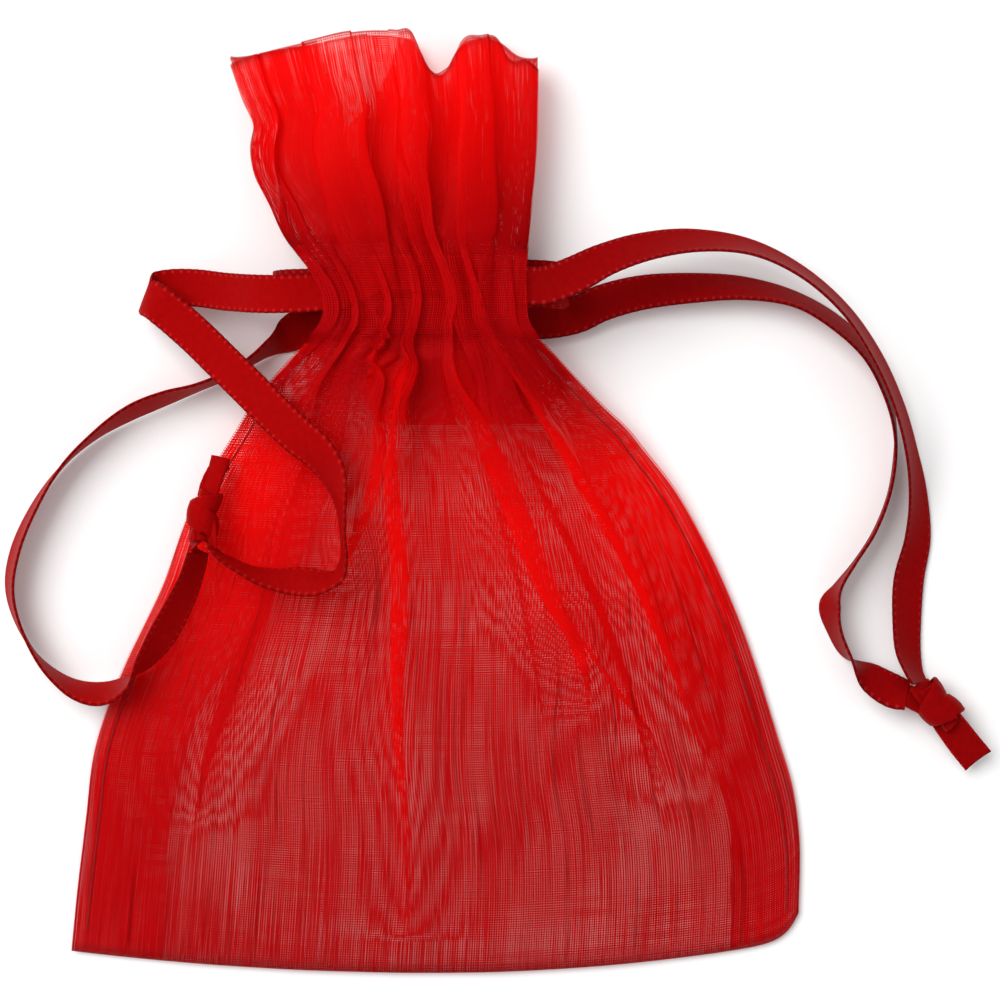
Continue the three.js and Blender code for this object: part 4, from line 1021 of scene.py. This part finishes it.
def satin_material(name, face_red, bead_red):
    material, tree = new_material(name)
    uv = add_node(tree, "UVMap", uv_map="weave_mm")
    split = add_node(tree, "SeparateXYZ", Vector=uv)
    grain = add_node(tree, "TexNoise", Vector=uv, Scale=1.6, Detail=5.0, Roughness=0.65).outputs["Fac"]
    off_middle = add_node(tree, "Math", operation="ABSOLUTE", i0=split.outputs["X"])
    selvedge = add_node(tree, "MapRange", interpolation_type="SMOOTHSTEP", Value=off_middle,
                        From_Min=SELVEDGE_FROM, From_Max=EDGE_SHADE_FROM)
    edge_shade = add_node(tree, "MapRange", interpolation_type="SMOOTHSTEP", Value=off_middle,
                   From_Min=EDGE_SHADE_FROM, From_Max=EDGE_SHADE_FULL, To_Max=0.5)
    bead_turn = 2 * math.pi / SELVEDGE_PITCH
    bead = add_node(tree, "Math", operation="MULTIPLY", i0=split.outputs["Y"], i1=bead_turn)
    bead = add_node(tree, "Math", operation="COSINE", i0=bead)
    bead = add_node(tree, "MapRange", interpolation_type="SMOOTHSTEP", Value=bead,
                    From_Min=0.1, To_Max=0.4)
    bead = add_node(tree, "Math", operation="MULTIPLY", i0=bead, i1=selvedge)
    red = add_node(tree, "Mix", data_type="RGBA", i0=bead, i6=linear(face_red), i7=linear(bead_red))
    # Painted shade: the red turns dark towards the ribbon's outer edge, where it rounds down
    red = add_node(tree, "Mix", data_type="RGBA", i0=edge_shade, i6=red.outputs[2], i7=linear("3c0204"))
    shade = add_node(tree, "Math", operation="MULTIPLY_ADD", i0=grain, i1=0.5, i2=0.75)
    red = add_node(tree, "HueSaturation", Value=shade, Color=red.outputs[2])
    bump = add_node(tree, "Bump", Strength=0.2, Distance=0.00004, Height=grain)
    surface = add_node(tree, "BsdfPrincipled", Base_Color=red, Roughness=0.45, Normal=bump,
                       Specular_IOR_Level=0.08, Specular_Tint=linear("ff1c1c"), IOR=1.3)
    add_node(tree, "OutputMaterial", Surface=surface)
    return material


def thread_material():
    material, tree = new_material("polyester_sewing_thread")
    uv = add_node(tree, "UVMap", uv_map="weave_mm")
    twist = add_node(tree, "TexWave", bands_direction="DIAGONAL", Vector=uv, Scale=2.4).outputs["Fac"]
    red = add_node(tree, "Mix", data_type="RGBA", i0=twist, i6=linear("780508"), i7=linear("a80a0e"))
    surface = add_node(tree, "BsdfPrincipled", Base_Color=red.outputs[2], Roughness=0.6,
                       Specular_IOR_Level=0.2)
    add_node(tree, "OutputMaterial", Surface=surface)
    return material


# Both ribbons are the same satin; the right one's face and beads are painted darker, as painted shade
left_satin = satin_material("polyester_satin_left", "980607", "d42a28")
right_satin_shaded_copy = satin_material("polyester_satin_right_shaded_copy", "880608", "b43034")
sewing_thread = thread_material()
print("materials:", [m.name for m in (organza, left_satin, right_satin_shaded_copy, sewing_thread)])

# %% [markdown]
# Every piece rides on the body of the imported model that it belongs to and stands for the plain solids
# there. The length of each of the four free tails, from the mouth of the channel to its knot, is
# printed.

# %% Join the pieces to the frame
def dress(piece, body, slot, material, *nodes):
    piece.data.materials.append(material)
    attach(piece, body)
    if nodes:
        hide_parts(*nodes)


dress(cloth_front, "pouch", "organza", organza, "pouch_cloth")
dress(cloth_back, "pouch", "organza", organza, "pouch_cloth")
for piece in stitches:
    nodes = [piece.name.replace("stitches", "thread")] if piece.name.startswith("channel") else []
    dress(piece, "pouch", "sewing_thread", sewing_thread, *nodes)
sides = ("left", left_pieces, left_knot, left_satin), ("right", right_pieces, right_knot, right_satin_shaded_copy)
for side, pieces, knot, satin in sides:
    dress(knot, f"{side}_drawstring", "satin_ribbon", satin, f"{side}_ribbon_knot")
    for piece, _, _ in pieces:
        dress(piece, f"{side}_drawstring", "satin_ribbon", satin, f"{side}_ribbon")
    for k in (0, 2):
        piece, centre, length = pieces[k]
        print(f"{piece.name}: a limp cord of {length:.0f} mm")

# %% [markdown]
# The pouch lies on a plain white floor under soft light: a pale sky all round and one broad lamp from
# the upper left, which gives the folds their side of shade without a hard shadow. Where the camera
# itself sees the sky, past the floor's edge, it is plain white.

# %% Floor and light
FLOOR_SIZE = 1.6
LAMP_AT = -0.45, 0.35, 0.75
LAMP_SIZE = 0.7
LAMP_WATTS = 7.5
SKY_STRENGTH = 0.62
LAYERS_SEEN_THROUGH = 24


def add_floor():
    bpy.ops.object.select_all(action="DESELECT")
    bpy.ops.mesh.primitive_plane_add(size=FLOOR_SIZE, location=(0, 0, 0))
    floor = bpy.context.active_object
    floor.name = "floor"
    material, tree = new_material("white_paper_floor")
    paper = add_node(tree, "BsdfDiffuse", Color=linear("fbfbfb"))
    add_node(tree, "OutputMaterial", Surface=paper)
    floor.data.materials.append(material)


def add_lamp():
    data = bpy.data.lights.new("soft_window", "AREA")
    data.size = LAMP_SIZE
    data.energy = LAMP_WATTS
    lamp = bpy.data.objects.new("soft_window", data)
    lamp.location = LAMP_AT
    lamp.rotation_mode = "QUATERNION"
    lamp.rotation_quaternion = (-Vector(LAMP_AT)).to_track_quat("-Z", "Y")
    bpy.context.scene.collection.objects.link(lamp)


def add_sky():
    world = bpy.data.worlds.new("pale_room")
    world.use_nodes = True
    tree = world.node_tree
    tree.nodes.clear()
    seen = add_node(tree, "LightPath").outputs["Is Camera Ray"]
    level = add_node(tree, "MapRange", Value=seen, To_Min=SKY_STRENGTH)
    background = add_node(tree, "Background", Color=(1, 1, 1, 1), Strength=level)
    add_node(tree, "OutputWorld", Surface=background)
    bpy.context.scene.world = world


add_floor()
add_lamp()
add_sky()
scene = bpy.context.scene
scene.view_settings.view_transform = "Standard"
scene.cycles.transparent_max_bounces = LAYERS_SEEN_THROUGH
print(f"a floor {FLOOR_SIZE} m wide, a lamp of {LAMP_WATTS} W and a sky of {SKY_STRENGTH}")

# %% [markdown]
# Both panels are gathered sheets. The back lies on the floor and the front on the back, and the front
# holds the seam allowances of both, so its flat area is more than its width times its length.

# %% Sheets of cloth
HEM_DEPTH = TOP_Y - HEM_EDGE
ALLOWANCE = 10.0
PANEL_LENGTH = TOP_Y - BASE_Y + HEM_DEPTH
BACK_SIZE = (CLOTH_WIDTH * MM, PANEL_LENGTH * MM)
FRONT_SIZE = ((CLOTH_WIDTH + 2 * ALLOWANCE) * MM, PANEL_LENGTH * MM)
for side, size in (("front", FRONT_SIZE), ("back", BACK_SIZE)):
    print(f"{side} panel: {size[0] / MM:.1f} by {size[1] / MM:.1f} mm when flat")
